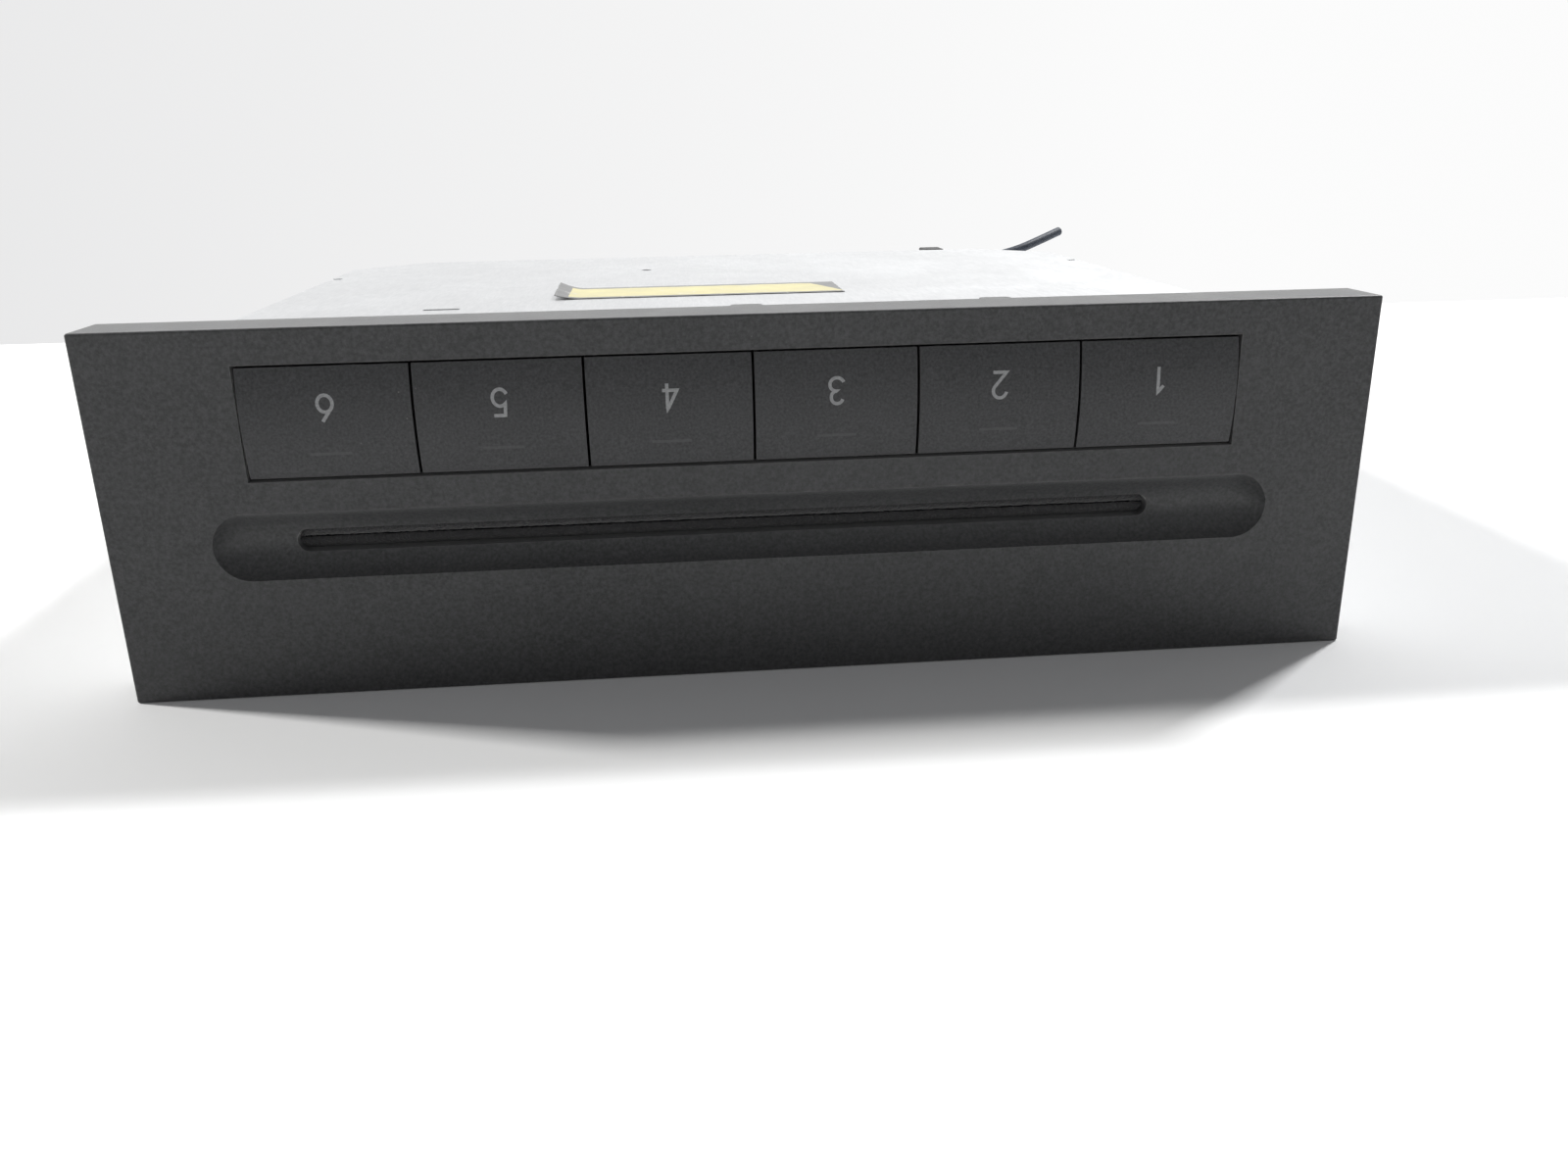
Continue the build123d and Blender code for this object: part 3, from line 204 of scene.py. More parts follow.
def plastic(name, dark, light, worn, grain, grain_depth, rough,
            specular=0.5, wear=0.25, sheen=0.0):
    """Moulded plastic with an eroded grain, slow shade changes, rubbed edges and dust."""
    s = Shader(name)
    blotch = s.ramp(s.noise(28.0, 4.0, 0.6), 0.3, 0.7)
    fine = s.noise(grain, 2.0, 0.6)
    base = s.mix(blotch, dark, light)
    speck = s.ramp(fine, 0.3, 0.75)
    base = s.mix(s.math("MULTIPLY", speck, 0.6), base, scaled(light, 2.3))
    base = s.mix(s.math("MULTIPLY", s.edge(0.00035), wear), base, worn)
    distance, _ = s.cells(420.0)
    dust = s.math("MULTIPLY", s.ramp(distance, 0.06, 0.03), s.ramp(s.noise(60.0), 0.55, 0.7))
    base = s.mix(s.math("MULTIPLY", dust, 0.35), base, DUST)
    smear = s.ramp(s.noise(70.0, 5.0, 0.65, 1.2), 0.3, 0.7, rough - 0.07, rough + 0.07)
    slow = s.bump(s.noise(45.0, 2.0), 0.15, 0.0004)
    normal = s.bump(fine, 0.5, grain_depth, slow)
    return s.finish(base, smear, normal, specular=specular,
                    Sheen_Weight=sheen, Sheen_Roughness=0.3)


def sheet_metal(name, dull, bright, rough,
                brushing=(40.0, 4.0, 40.0), spangle=0.12, scratch=0.35):
    """Zinc-plated sheet: rolling lines, faint crystals, finger smears, scratches, painted edge
    shade.
    """
    s = Shader(name)
    rolled = s.noise(60.0, 5.0, 0.7, 0.0, s.stretched(*brushing))
    _, crystal = s.cells(160.0)
    tone = s.node("ShaderNodeSeparateColor")
    s.link(crystal, tone.inputs["Color"])
    base = s.mix(s.ramp(rolled, 0.3, 0.7), dull, bright)
    crystals = s.math("MULTIPLY", tone.outputs["Red"], spangle)
    base = s.mix(crystals, base, scaled(dull, 0.82))
    smear = s.ramp(s.noise(22.0, 6.0, 0.62, 1.5), 0.42, 0.62)
    base = s.mix(s.math("MULTIPLY", smear, 0.12), base, scaled(dull, 0.75))
    scratches = s.noise(220.0, 2.0, 0.5, 0.4, s.stretched(0.35, 7.0, 7.0))
    line = s.math("MULTIPLY", s.ramp(scratches, 0.66, 0.7), s.ramp(s.noise(15.0), 0.5, 0.62))
    base = s.mix(s.math("MULTIPLY", line, scratch), base, scaled(bright, 1.2))
    # Painted shade: darker along sharp edges, in creases and on the walls of small holes
    base = s.mix(s.math("MULTIPLY", s.edge(0.0003), 0.3), base, scaled(dull, 0.55))
    smeared = s.math("ADD", s.math("MULTIPLY", smear, 0.5), rolled)
    lustre = s.ramp(smeared, 0.3, 1.2, rough - 0.06, rough + 0.14)
    slow = s.bump(s.noise(12.0, 2.0), 0.12, 0.0012)
    normal = s.bump(rolled, 0.12, 0.00002, slow)
    return s.finish(base, lustre, normal, metallic=0.9)


def machined(name, dull, bright, rough, grain=900.0, stain=GREASE_ON_METAL):
    """Turned or plated small metal parts with fine tool lines and old grease in places."""
    s = Shader(name)
    lines = s.noise(grain, 3.0, 0.6, 0.0, s.stretched(1.0, 6.0, 1.0))
    base = s.mix(s.ramp(lines, 0.3, 0.7), dull, bright)
    grease = s.ramp(s.noise(130.0, 5.0, 0.6, 1.0), 0.56, 0.7)
    base = s.mix(s.math("MULTIPLY", grease, 0.4), base, stain)
    base = s.mix(s.math("MULTIPLY", s.edge(0.0002), 0.4), base, scaled(bright, 1.3))
    lustre = s.ramp(s.math("ADD", lines, grease), 0.2, 1.8, rough - 0.08, rough + 0.2)
    return s.finish(base, lustre, s.bump(lines, 0.25, 0.00003), metallic=1.0)


def circuit(name):
    """Green mask with copper runs showing through, pads and a pale flux bloom."""
    s = Shader(name)
    brick = s.node("ShaderNodeTexBrick")
    brick.inputs["Scale"].default_value = 260.0
    brick.inputs["Mortar Size"].default_value = 0.16
    brick.inputs["Color1"].default_value = (0.0, 0.0, 0.0, 1.0)
    brick.inputs["Color2"].default_value = (0.0, 0.0, 0.0, 1.0)
    brick.inputs["Mortar"].default_value = (1.0, 1.0, 1.0, 1.0)
    s.link(s.stretched(1.0, 1.0, 0.02), brick.inputs["Vector"])
    runs = s.math("MULTIPLY", brick.outputs["Color"], s.ramp(s.noise(60.0, 1.0), 0.48, 0.52))
    base = s.mix(runs, (0.008, 0.075, 0.028), (0.02, 0.17, 0.07))
    distance, _ = s.cells(330.0)
    pads = s.math("MULTIPLY", s.ramp(distance, 0.2, 0.17), s.ramp(s.noise(85.0), 0.56, 0.6))
    base = s.mix(pads, base, (0.58, 0.56, 0.5))
    bloom = s.ramp(s.noise(40.0, 5.0, 0.6), 0.55, 0.75, 0.0, 0.15)
    base = s.mix(bloom, base, FLUX)
    raised = s.bump(s.math("ADD", runs, pads), 0.4, 0.00004)
    return s.finish(base, s.ramp(pads, 0.0, 1.0, 0.38, 0.28), raised)


def chip_block(name):
    """Black moulded packages with a matt top, a paler rim and traces of handling."""
    s = Shader(name)
    fine = s.noise(2600.0, 2.0)
    base = s.mix(s.ramp(fine, 0.3, 0.7), (0.012, 0.012, 0.013), (0.03, 0.03, 0.032))
    rim = s.math("MULTIPLY", s.edge(0.0004, 0.05, 0.5), 0.5)
    base = s.mix(rim, base, (0.14, 0.14, 0.13))
    smear = s.ramp(s.noise(90.0, 4.0), 0.35, 0.65, 0.5, 0.7)
    return s.finish(base, smear, s.bump(fine, 0.4, 0.00003))


def rubber(name, dark, light, rough, scale=700.0):
    """Fine-grained rubber with a pale bloom in places."""
    s = Shader(name)
    fine = s.noise(scale, 4.0, 0.65)
    base = s.mix(s.ramp(fine, 0.3, 0.7), dark, light)
    bloom = s.ramp(s.noise(55.0, 5.0, 0.6, 0.8), 0.5, 0.75, 0.0, 0.25)
    base = s.mix(bloom, base, scaled(light, 3.0, 0.02))
    smear = s.ramp(s.noise(120.0, 4.0), 0.3, 0.7, rough - 0.08, rough + 0.08)
    return s.finish(base, smear, s.bump(fine, 0.35, 0.00004), specular=0.35)


def jacket(name, dark, light):
    """Drawn cable jacket: faint lengthwise lines, a soft shine and a few scuffs."""
    s = Shader(name)
    drawn = s.noise(240.0, 3.0, 0.6, 0.0, s.stretched(0.4, 3.0, 3.0))
    base = s.mix(s.ramp(drawn, 0.3, 0.7), dark, light)
    scuff = s.math("MULTIPLY", s.ramp(s.noise(420.0, 4.0, 0.6, 0.6), 0.62, 0.72), 0.25)
    base = s.mix(scuff, base, scaled(light, 2.0))
    shine = s.ramp(drawn, 0.3, 0.7, 0.5, 0.6)
    return s.finish(base, shine, s.bump(drawn, 0.1, 0.00002), specular=0.4)


def felt(name):
    """Matted dark fibres with specks of lint."""
    s = Shader(name)
    hairs = s.noise(1900.0, 6.0, 0.75, 2.5, s.stretched(1.0, 1.0, 3.0))
    base = s.mix(s.ramp(hairs, 0.3, 0.7), (0.035, 0.035, 0.036), (0.09, 0.09, 0.092))
    lint = s.ramp(s.noise(520.0, 2.0, 0.5, 3.0), 0.7, 0.76)
    base = s.mix(s.math("MULTIPLY", lint, 0.5), base, (0.16, 0.16, 0.16))
    return s.finish(base, 0.95, s.bump(hairs, 0.9, 0.0002), specular=0.1,
                    Sheen_Weight=0.4, Sheen_Roughness=0.5)


def gear_resin(name, dark, light):
    """Pale moulded resin, slightly clear, with grease in patches."""
    s = Shader(name)
    cloud = s.noise(90.0, 4.0, 0.6)
    base = s.mix(s.ramp(cloud, 0.3, 0.7), dark, light)
    grease = s.ramp(s.noise(260.0, 5.0, 0.6, 1.4), 0.58, 0.7)
    base = s.mix(s.math("MULTIPLY", grease, 0.45), base, GREASE)
    shine = s.ramp(grease, 0.0, 1.0, 0.42, 0.2)
    return s.finish(base, shine, s.bump(s.noise(1400.0), 0.15, 0.00003),
                    Subsurface_Weight=0.12, Subsurface_Scale=0.002)


def coated_glass(name):
    """A small lens with a blue and violet coating."""
    s = Shader(name)
    tint = s.ramp(s.noise(300.0, 3.0), 0.3, 0.7)
    base = s.mix(tint, (0.25, 0.3, 0.5), (0.42, 0.34, 0.58))
    haze = s.ramp(s.noise(900.0), 0.4, 0.6, 0.04, 0.12)
    return s.finish(base, haze, s.bump(s.noise(600.0), 0.05, 0.00001),
                    specular=0.8, Coat_Weight=0.6)


def ribbon_film(name):
    """A flat cable's clear film over rows of conductors."""
    s = Shader(name)
    wave = s.node("ShaderNodeTexWave", bands_direction="X")
    wave.inputs["Scale"].default_value = 160.0
    s.link(s.place, wave.inputs["Vector"])
    rows = s.ramp(wave.outputs["Fac"], 0.4, 0.6)
    base = s.mix(rows, (0.62, 0.62, 0.58), (0.42, 0.42, 0.4))
    stain = s.ramp(s.noise(50.0, 4.0), 0.5, 0.8, 0.0, 0.3)
    base = s.mix(stain, base, (0.5, 0.45, 0.34))
    gloss = s.ramp(s.noise(80.0), 0.3, 0.7, 0.28, 0.4)
    return s.finish(base, gloss, s.bump(wave.outputs["Fac"], 0.3, 0.00005))


def printed_film(name, panel_low, panel_high, panel, border):
    """A blank foil sticker: a coloured panel in a grey border, creased and rubbed."""
    s = Shader(name)
    apart = s.node("ShaderNodeSeparateXYZ")
    s.link(s.place, apart.inputs["Vector"])
    wander = s.ramp(s.noise(500.0, 3.0), 0.0, 1.0, -0.00015, 0.00015)
    x = s.math("ADD", apart.outputs["X"], wander)
    slant = s.math("MULTIPLY", apart.outputs["Y"], -0.35)
    y = s.math("ADD", apart.outputs["Y"], wander)
    inside = s.math("MULTIPLY", s.math("GREATER_THAN", x, panel_low[0]),
                    s.math("LESS_THAN", s.math("SUBTRACT", x, slant), panel_high[0]))
    inside = s.math("MULTIPLY", inside, s.math("GREATER_THAN", y, panel_low[1]))
    inside = s.math("MULTIPLY", inside, s.math("LESS_THAN", y, panel_high[1]))
    cloud = s.ramp(s.noise(120.0, 5.0, 0.6), 0.3, 0.7)
    yellow = s.mix(cloud, panel, scaled(panel, 1.18, 0.03))
    grey = s.mix(cloud, border, scaled(border, 1.35))
    base = s.mix(inside, grey, yellow)
    rub = s.math("MULTIPLY", s.ramp(s.noise(260.0, 6.0, 0.7, 0.8), 0.6, 0.68), 0.55)
    base = s.mix(rub, base, RUBBED_FOIL)
    crease = s.noise(90.0, 3.0, 0.5, 2.0, s.stretched(1.0, 3.0, 1.0))
    return s.finish(base, s.ramp(cloud, 0.0, 1.0, 0.3, 0.45), s.bump(crease, 0.35, 0.0004))


def print_ink(name, dark, light):
    """Thin printed ink, a little uneven where the grain shows through."""
    s = Shader(name)
    grain = s.noise(2600.0, 3.0)
    base = s.mix(s.ramp(grain, 0.35, 0.7), dark, light)
    return s.finish(base, s.ramp(grain, 0.3, 0.7, 0.42, 0.6), s.bump(grain, 0.4, 0.00003))


BEZEL = plastic("bezel_plastic", (0.037, 0.0375, 0.0385), (0.049, 0.0495, 0.0505),
                worn=(0.17, 0.17, 0.165), grain=2000.0, grain_depth=0.00008, rough=0.42,
                specular=0.36, wear=0.6, sheen=1.0)
BUTTON = plastic("button_plastic", (0.039, 0.0395, 0.041), (0.047, 0.0475, 0.049),
                 worn=(0.12, 0.12, 0.12), grain=2600.0, grain_depth=0.00004, rough=0.42,
                 specular=0.3, wear=0.35)
INNER = plastic("inner_plastic", (0.016, 0.016, 0.017), (0.03, 0.03, 0.031),
                worn=(0.09, 0.09, 0.09), grain=1800.0, grain_depth=0.00004, rough=0.48)
TRAY = plastic("tray_plastic", (0.03, 0.03, 0.032), (0.05, 0.05, 0.053),
               worn=(0.12, 0.12, 0.12), grain=1500.0, grain_depth=0.00005, rough=0.5)
HOUSING = sheet_metal("galvanised_sheet", (0.73, 0.74, 0.75), (0.85, 0.855, 0.86), 0.42)
BRACKETS = sheet_metal("plated_steel", (0.55, 0.56, 0.57), (0.74, 0.75, 0.76), 0.3,
                       brushing=(4.0, 60.0, 60.0), spangle=0.05, scratch=0.2)
SCREWS = machined("screw_steel", (0.48, 0.48, 0.48), (0.66, 0.66, 0.67), 0.32)
GROUND = machined("ground_steel", (0.55, 0.55, 0.56), (0.75, 0.75, 0.76), 0.2, grain=1600.0)
MOTOR = machined("motor_steel", (0.42, 0.43, 0.44), (0.62, 0.63, 0.64), 0.35, grain=500.0)
TURNED = machined("turntable_metal", (0.58, 0.58, 0.6), (0.8, 0.8, 0.82), 0.28,
                  grain=1200.0, stain=(0.3, 0.3, 0.3))
CONTACTS = machined("contact_metal", (0.62, 0.58, 0.46), (0.8, 0.74, 0.56), 0.24, grain=2000.0)

# The sticker's coloured panel, from its low corner to its high corner, in metres
PANEL_LOW = (-0.0308, -0.0128)
PANEL_HIGH = (0.0192, 0.0021)

FINISHES = {
    "bezel_plastic": BEZEL,
    "button_plastic": BUTTON,
    "inner_plastic": INNER,
    "tray_plastic": TRAY,
    "gear_plastic": gear_resin("gear_plastic", (0.72, 0.7, 0.62), (0.84, 0.82, 0.75)),
    "felt": felt("felt"),
    "galvanised_sheet": HOUSING,
    "plated_steel": BRACKETS,
    "screw_steel": SCREWS,
    "ground_steel": GROUND,
    "motor_steel": MOTOR,
    "turntable_metal": TURNED,
    "contact_metal": CONTACTS,
    "board": circuit("board"),
    "chips": chip_block("chips"),
    "ribbon": ribbon_film("ribbon"),
    "label": printed_film("label", PANEL_LOW, PANEL_HIGH, (0.70, 0.64, 0.34), (0.2, 0.2, 0.2)),
    "rubber": rubber("rubber", (0.012, 0.012, 0.012), (0.03, 0.03, 0.03), 0.7),
    "lens_glass": coated_glass("lens_glass"),
    "cable_jacket": jacket("cable_jacket", (0.038, 0.047, 0.066), (0.078, 0.091, 0.118)),
}
INK = print_ink("button_ink", (0.28, 0.285, 0.29), (0.39, 0.395, 0.40))
GUIDE_INK = print_ink("indicator_ink", (0.062, 0.063, 0.064), (0.080, 0.081, 0.083))

slot_of = {entry["node"]: entry["material_slot"] for entry in frame["record"]["subparts"]}
for name, piece in frame["nodes"].items():
    piece.data.materials.clear()
    piece.data.materials.append(FINISHES[slot_of[name]])


def shown(name, mesh, material):
    piece = bpy.data.objects.new(name, mesh)
    piece.data.materials.append(material)
    scene.collection.objects.link(piece)
    return piece


def mesh_from(name, bm):
    mesh = bpy.data.meshes.new(name)
    bm.to_mesh(mesh)
    bm.free()
    return mesh


# ------------------------------------------------------------ lead at back

# The same route points as the solid's, X, depth and Z the right way up
LEAD_ROUTE = (
    (-68.0, 181.0, 9.5),
    (-77.0, 181.0, 9.5),
    (-87.0, 182.0, 7.6),
    (-95.5, 187.2, 5.2),
    (-102.7, 192.7, 3.2),
)
LEAD_RADIUS = 1.2 * MM

curve = bpy.data.curves.new("rear_lead", "CURVE")
curve.dimensions = "3D"
spline = curve.splines.new("NURBS")
spline.points.add(len(LEAD_ROUTE) - 1)
for point, place in zip(spline.points, LEAD_ROUTE):
    point.co = (*at(*place), 1.0)
spline.order_u = 3
spline.use_endpoint_u = True
spline.resolution_u = 12
curve.bevel_depth = LEAD_RADIUS
curve.bevel_resolution = 6
curve.use_fill_caps = True
lead = shown("rear_lead", curve, FINISHES["cable_jacket"])
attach(lead, "housing")
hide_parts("lead")

# --------------------------------------------------------- button markings

# All in mm, heights the right way up
BUTTON_PITCH = 23.95
MIDDLE_KEY = 3.5
BUTTON_MIDDLE = 13.25
CROWN_FRONT = -0.6
CROWN_HALF = 7.85
CROWN_RISE = 0.9
CROWN_RADIUS = (CROWN_HALF**2 + CROWN_RISE**2) / (2 * CROWN_RISE)
DIGIT_HEIGHT = 3.7
DIGIT_WIDTH = 2.15
DIGIT_Z = 11.2
STROKE = 0.48
STROKE_STEP = 0.25
NARROWEST_MITRE = 0.45
INDICATOR_Z = 17.7
INDICATOR_WIDTH = 5.7
INDICATOR_HEIGHT = 0.42
INK_LIFT = 0.015


def arc(x, y, rx, ry, start, end, steps=18):
    """Points on an ellipse, angles in degrees from +X."""
    turns = [math.radians(start + (end - start) * i / steps) for i in range(steps + 1)]
    return [(x + rx * math.cos(a), y + ry * math.sin(a)) for a in turns]


# Each digit as strokes in a box from (0, 0) to (1, 1), seen the right way up
DIGITS = {
    1: [[(0.22, 0.74), (0.60, 1.0), (0.60, 0.0)]],
    2: [arc(0.5, 0.72, 0.46, 0.28, 170, -28) + [(0.06, 0.0), (0.98, 0.0)]],
    3: [arc(0.48, 0.75, 0.40, 0.25, 160, -90) + arc(0.48, 0.26, 0.48, 0.26, 84, -160)],
    4: [[(0.68, 0.0), (0.68, 1.0), (0.02, 0.26), (1.0, 0.26)]],
    5: [[(0.90, 1.0), (0.18, 1.0), (0.12, 0.54)] + arc(0.46, 0.32, 0.48, 0.32, 128, -155)],
    6: [[(0.74, 1.0), (0.12, 0.50)] + arc(0.5, 0.32, 0.48, 0.32, 150, 510)],
}


def face_depth(z):
    """Depth of a button's face at a height, from its crown's arc."""
    return CROWN_FRONT + CROWN_RADIUS - math.sqrt(CROWN_RADIUS**2 - (z - BUTTON_MIDDLE) ** 2)


def resampled(points, step):
    made = [Vector(points[0])]
    for a, b in zip(points, points[1:]):
        a, b = Vector(a), Vector(b)
        count = max(1, math.ceil((b - a).length / step))
        made += [a.lerp(b, i / count) for i in range(1, count + 1)]
    return made


def ribbon(bm, points, width, middle_x):
    """A flat stroke of one width laid on a button's face, its joints mitred."""
    line = resampled(points, STROKE_STEP)
    line = [line[0]] + [b for a, b in zip(line, line[1:]) if (b - a).length > 1e-6]
    rows = []
    for i, here in enumerate(line):
        before = (here - line[i - 1]).normalized() if i else None
        after = (line[i + 1] - here).normalized() if i + 1 < len(line) else None
        way = ((before or after) + (after or before)).normalized()
        side = Vector((-way.y, way.x))
        spread = 1.0
        if before and after:
            across = abs(side.dot(Vector((-before.y, before.x))))
            spread = 1.0 / max(NARROWEST_MITRE, across)
        row = []
        for sign in (-1, 1):
            spot = here + side * (sign * spread * width / 2)
            depth = face_depth(spot.y) - INK_LIFT
            row.append(bm.verts.new(at(middle_x + spot.x, depth, spot.y)))
        rows.append(row)
    for (a, b), (c, d) in zip(rows, rows[1:]):
        bm.faces.new((a, b, d, c))


def marking(name, key, strokes, width, material):
    bm = bmesh.new()
    for points in strokes:
        ribbon(bm, points, width, (key - MIDDLE_KEY) * BUTTON_PITCH)
    piece = shown(name, mesh_from(name, bm), material)
    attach(piece, f"key_{key}")


for key, strokes in DIGITS.items():
    placed = [[((x - 0.5) * DIGIT_WIDTH, DIGIT_Z + (y - 0.5) * DIGIT_HEIGHT) for x, y in points]
              for points in strokes]
    marking(f"digit_{key}", key, placed, STROKE, INK)
    bar = [(-INDICATOR_WIDTH / 2, INDICATOR_Z), (INDICATOR_WIDTH / 2, INDICATOR_Z)]
    marking(f"indicator_{key}", key, [bar], INDICATOR_HEIGHT, GUIDE_INK)

# --------------------------------------------------------------- slot pile

# All in mm: the slot, then how far the fibres reach, bulge and stray
SLOT_X = 3.3
SLOT_Z = 31.15
SLOT_LENGTH = 128.0
SLOT_HEIGHT = 3.4
PILE_BACK = 5.38
PILE_FRONT = 4.5
PILE_GAP = 0.03
PILE_INSET = 0.04
PILE_END_GAP = 0.12
SHORTEST_FIBRE = 0.02
RAGGED_TIPS = 0.14
STRAY_DEPTH = 0.06
PILE_STEPS = 640
PILE_ROWS = 9


def slot_half_height(x):
    """Half the slot's height at a distance from its middle, with its round ends."""
    past = abs(x) - (SLOT_LENGTH - SLOT_HEIGHT) / 2
    if past <= 0.0:
        return SLOT_HEIGHT / 2
    return math.sqrt(max(0.0, (SLOT_HEIGHT / 2) ** 2 - past**2))


def pile_lip(name, side):
    """Brushed felt fibres from one side of the slot, their tips meeting the other lip's."""
    bm = bmesh.new()
    rows = []
    reach = SLOT_LENGTH / 2 - PILE_END_GAP
    for i in range(PILE_STEPS + 1):
        x = -reach + 2 * reach * i / PILE_STEPS
        root = max(PILE_GAP + SHORTEST_FIBRE, slot_half_height(x) - PILE_INSET)
        tip = min(PILE_GAP + random.uniform(0.0, RAGGED_TIPS), root)
        row = []
        for j in range(PILE_ROWS + 1):
            share = j / PILE_ROWS
            rise = root + (tip - root) * share
            bulge = math.sin(math.pi * min(1.0, 0.12 + 0.8 * share)) ** 0.6
            stray = random.uniform(-STRAY_DEPTH, STRAY_DEPTH)
            depth = PILE_BACK - (PILE_BACK - PILE_FRONT) * bulge + stray
            row.append(bm.verts.new(at(SLOT_X + x, min(PILE_BACK, depth), SLOT_Z + side * rise)))
        rows.append(row)
    for a, b in zip(rows, rows[1:]):
        for j in range(PILE_ROWS):
            bm.faces.new((a[j], b[j], b[j + 1], a[j + 1]))
    piece = shown(name, mesh_from(name, bm), FINISHES["felt"])
    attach(piece, "housing")


random.seed(11)
pile_lip("slot_pile_upper", 1)
pile_lip("slot_pile_lower", -1)

# ----------------------------------------------------------------- sticker

# All in metres
LABEL_LOW, LABEL_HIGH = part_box("blank_label")
LABEL_COLUMNS, LABEL_ROWS = 96, 32
LABEL_THICKNESS = 0.00008
LABEL_RAISED = 0.00006
RAGGED_ENDS = 0.00025
LIFTED = 0.0052
LIFT_HEIGHT = 0.0014


def label_height(x, y):
    """The sticker lies flat but for its left end, which has come away and curls up."""
    share = max(0.0, (LABEL_LOW.x + LIFTED - x) / LIFTED)
    corner = 0.55 + 0.45 * (y - LABEL_LOW.y) / (LABEL_HIGH.y - LABEL_LOW.y)
    ripple = 0.00002 * math.sin(900 * x) * math.sin(700 * y)
    return LIFT_HEIGHT * corner * share**1.8 + ripple


bm = bmesh.new()
random.seed(7)
grid = []
base_z = LABEL_LOW.z + LABEL_RAISED
for i in range(LABEL_COLUMNS + 1):
    column = []
    for j in range(LABEL_ROWS + 1):
        x = LABEL_LOW.x + (LABEL_HIGH.x - LABEL_LOW.x) * i / LABEL_COLUMNS
        y = LABEL_LOW.y + (LABEL_HIGH.y - LABEL_LOW.y) * j / LABEL_ROWS
        if i in (0, LABEL_COLUMNS):
            x += random.uniform(0.0, RAGGED_ENDS) * (1 if i == 0 else -1)
        column.append(bm.verts.new((x, y, base_z + label_height(x, y))))
    grid.append(column)
for i in range(LABEL_COLUMNS):
    for j in range(LABEL_ROWS):
        bm.faces.new((grid[i][j], grid[i + 1][j], grid[i + 1][j + 1], grid[i][j + 1]))
label_mesh = mesh_from("sticker", bm)
for polygon in label_mesh.polygons:
    polygon.use_smooth = True
label = shown("sticker", label_mesh, FINISHES["label"])
solid = label.modifiers.new("thickness", "SOLIDIFY")
solid.thickness = LABEL_THICKNESS
solid.offset = 1.0
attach(label, "housing")
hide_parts("blank_label")

# ------------------------------------------------------------ studio stage

# In metres
WALL_Y = 0.315
WALL_TOP = 1.2
FLOOR_HALF = 1.8
# Where the wall's painted shade runs, dark at the left to pale at the right
SHADE_LEFT, SHADE_RIGHT = -0.35, 0.22


def stage_material(name, colour, shade):
    """A matt pale floor that the camera sees as white, apart from its shadows."""
    s = Shader(name)
    base = s.mix(s.ramp(s.noise(3.0, 3.0), 0.3, 0.7), colour, shade)
    seen = s.node("ShaderNodeLightPath").outputs["Is Camera Ray"]
    base = s.mix(seen, base, (1.0, 1.0, 1.0))
    matt = s.ramp(s.noise(14.0), 0.3, 0.7, 0.6, 0.7)
    return s.finish(base, matt, s.bump(s.noise(300.0), 0.05, 0.0002), specular=0.2)


def wall_material(name, left, right):
    """A pale wall, darker to the left as painted shade, glowing for the camera and in
    reflections, clear to the lamps behind it.
    """
    s = Shader(name)
    apart = s.node("ShaderNodeSeparateXYZ")
    s.link(s.place, apart.inputs["Vector"])
    wander = s.ramp(s.noise(2.0), 0.0, 1.0, -0.05, 0.05)
    # Painted shade: the wall darkens from SHADE_RIGHT towards SHADE_LEFT
    across = s.ramp(s.math("ADD", apart.outputs["X"], wander), SHADE_LEFT, SHADE_RIGHT)
    shade = s.mix(across, left, right)
    s.finish(shade, 0.8, specular=0.1)
    glow = s.node("ShaderNodeEmission")
    s.link(shade, glow.inputs["Color"])
    clear = s.node("ShaderNodeBsdfTransparent")
    path = s.node("ShaderNodeLightPath")
    back = s.node("ShaderNodeNewGeometry")
    seen = s.math("MAXIMUM", path.outputs["Is Camera Ray"], path.outputs["Is Glossy Ray"])
    seen = s.math("MAXIMUM", seen, path.outputs["Is Transmission Ray"])
    through = s.math("MAXIMUM", path.outputs["Is Shadow Ray"], back.outputs["Backfacing"])
    lit = s.node("ShaderNodeMixShader")
    s.link(seen, lit.inputs["Fac"])
    s.link(s.bsdf.outputs["BSDF"], lit.inputs[1])
    s.link(glow.outputs["Emission"], lit.inputs[2])
    made = s.node("ShaderNodeMixShader")
    s.link(through, made.inputs["Fac"])
    s.link(lit.outputs["Shader"], made.inputs[1])
    s.link(clear.outputs["BSDF"], made.inputs[2])
    s.link(made.outputs["Shader"], s.tree.nodes["Material Output"].inputs["Surface"])
    return s.material


def panel(name, corners, material):
    mesh = bpy.data.meshes.new(name)
    mesh.from_pydata(corners, [], [(0, 1, 2, 3)])
    piece = shown(name, mesh, material)


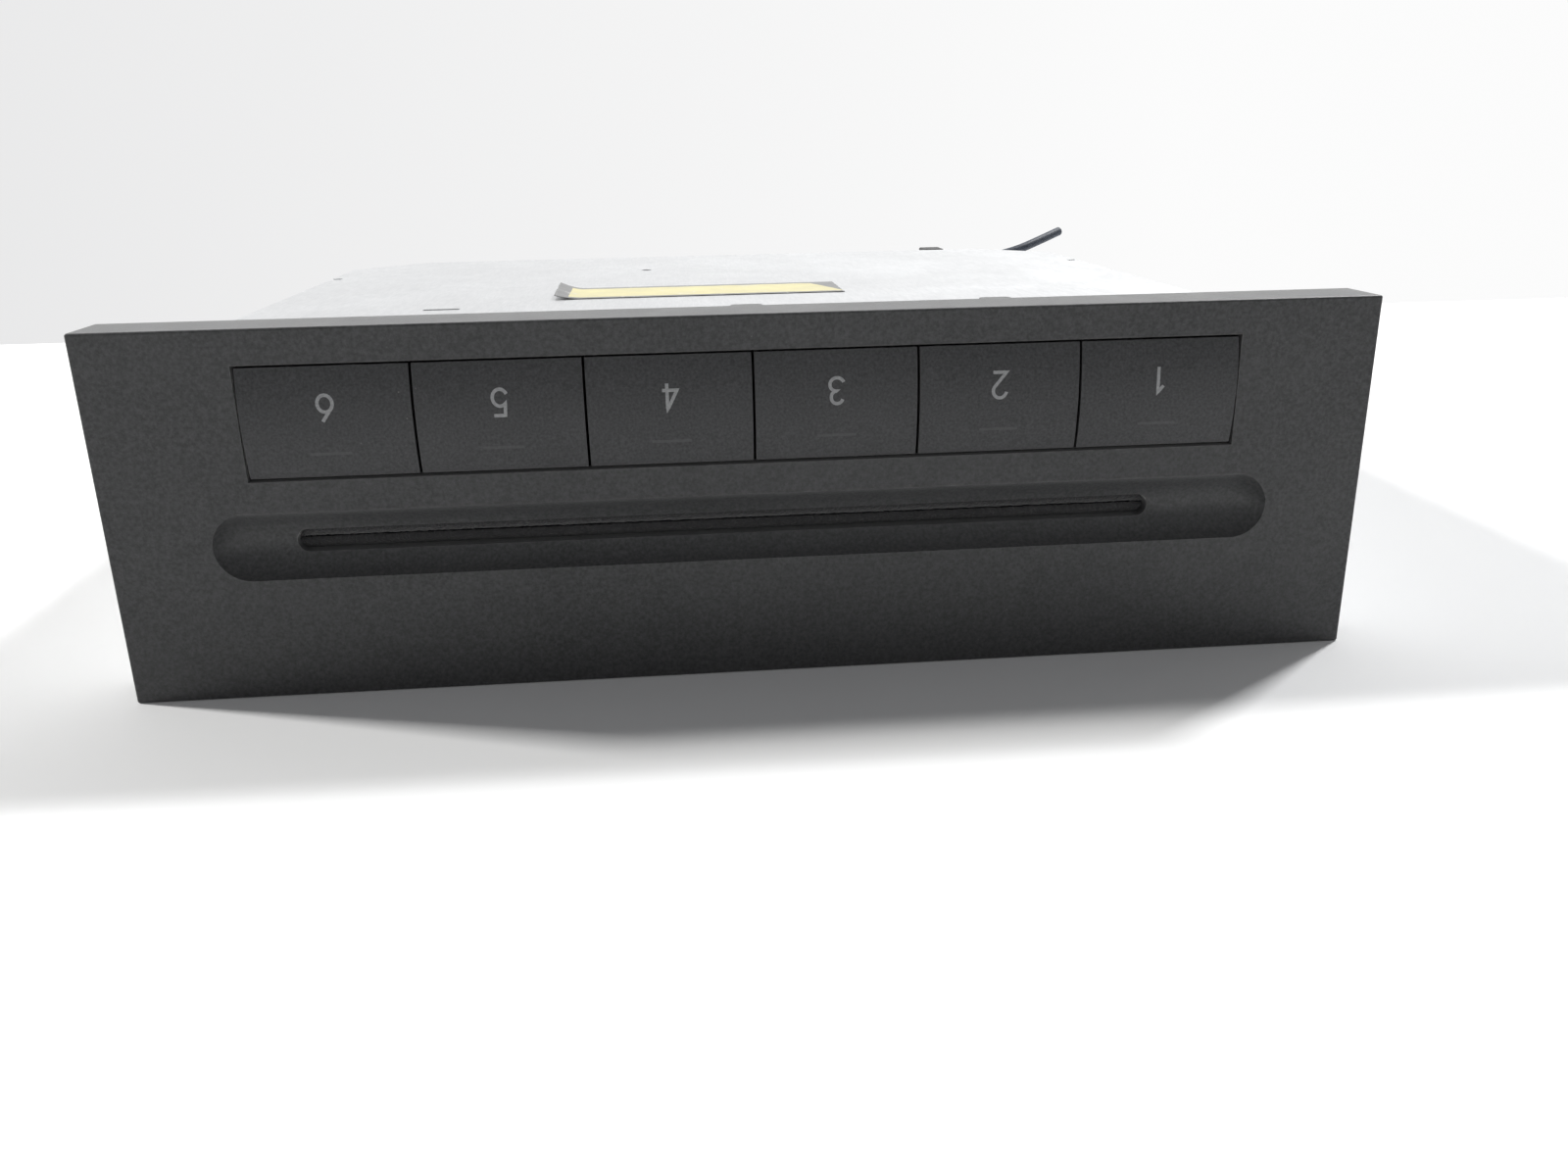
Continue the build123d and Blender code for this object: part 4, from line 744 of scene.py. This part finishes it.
panel(
    "stage_floor",
    [(-FLOOR_HALF, -FLOOR_HALF, 0.0), (FLOOR_HALF, -FLOOR_HALF, 0.0),
     (FLOOR_HALF, FLOOR_HALF, 0.0), (-FLOOR_HALF, FLOOR_HALF, 0.0)],
    stage_material("stage_white", (0.91, 0.91, 0.91), (0.94, 0.94, 0.94)),
)
# The backdrop wall, its left end darker as painted shade
panel(
    "stage_wall",
    [(-FLOOR_HALF, WALL_Y, 0.0), (FLOOR_HALF, WALL_Y, 0.0),
     (FLOOR_HALF, WALL_Y, WALL_TOP), (-FLOOR_HALF, WALL_Y, WALL_TOP)],
    wall_material("wall_white", (0.80, 0.80, 0.805), (0.97, 0.97, 0.97)),
)

# ------------------------------------------------------------------- light

AIR_COLOUR = (0.97, 0.98, 1.0, 1.0)
AIR_ON_OBJECT = 0.21
AIR_SEEN = 0.9
LAMP_TARGET = (0.0, 0.0, 0.02)

world = bpy.data.worlds.new("world")
world.use_nodes = True
scene.world = world
air = world.node_tree.nodes["Background"]
air.inputs["Color"].default_value = AIR_COLOUR
light_path = world.node_tree.nodes.new("ShaderNodeLightPath")
level = world.node_tree.nodes.new("ShaderNodeMapRange")
level.inputs["To Min"].default_value = AIR_ON_OBJECT
level.inputs["To Max"].default_value = AIR_SEEN
world.node_tree.links.new(light_path.outputs["Is Camera Ray"], level.inputs["Value"])
world.node_tree.links.new(level.outputs["Result"], air.inputs["Strength"])


def area_light(name, place, size, energy, colour):
    """A square soft lamp, in metres and watts, turned to the object."""
    light = bpy.data.lights.new(name, "AREA")
    light.shape = "RECTANGLE"
    light.size = size
    light.size_y = size
    light.energy = energy
    light.color = colour
    holder = bpy.data.objects.new(name, light)
    holder.location = place
    toward = Vector(LAMP_TARGET) - Vector(place)
    holder.rotation_euler = toward.to_track_quat("-Z", "Y").to_euler()
    scene.collection.objects.link(holder)


area_light("window_left", (-3.35, 0.97, 2.5), 0.36, 147.0, (1.0, 0.995, 0.98))
area_light("window_right", (1.88, 1.37, 2.5), 0.34, 80.0, (0.99, 0.995, 1.0))
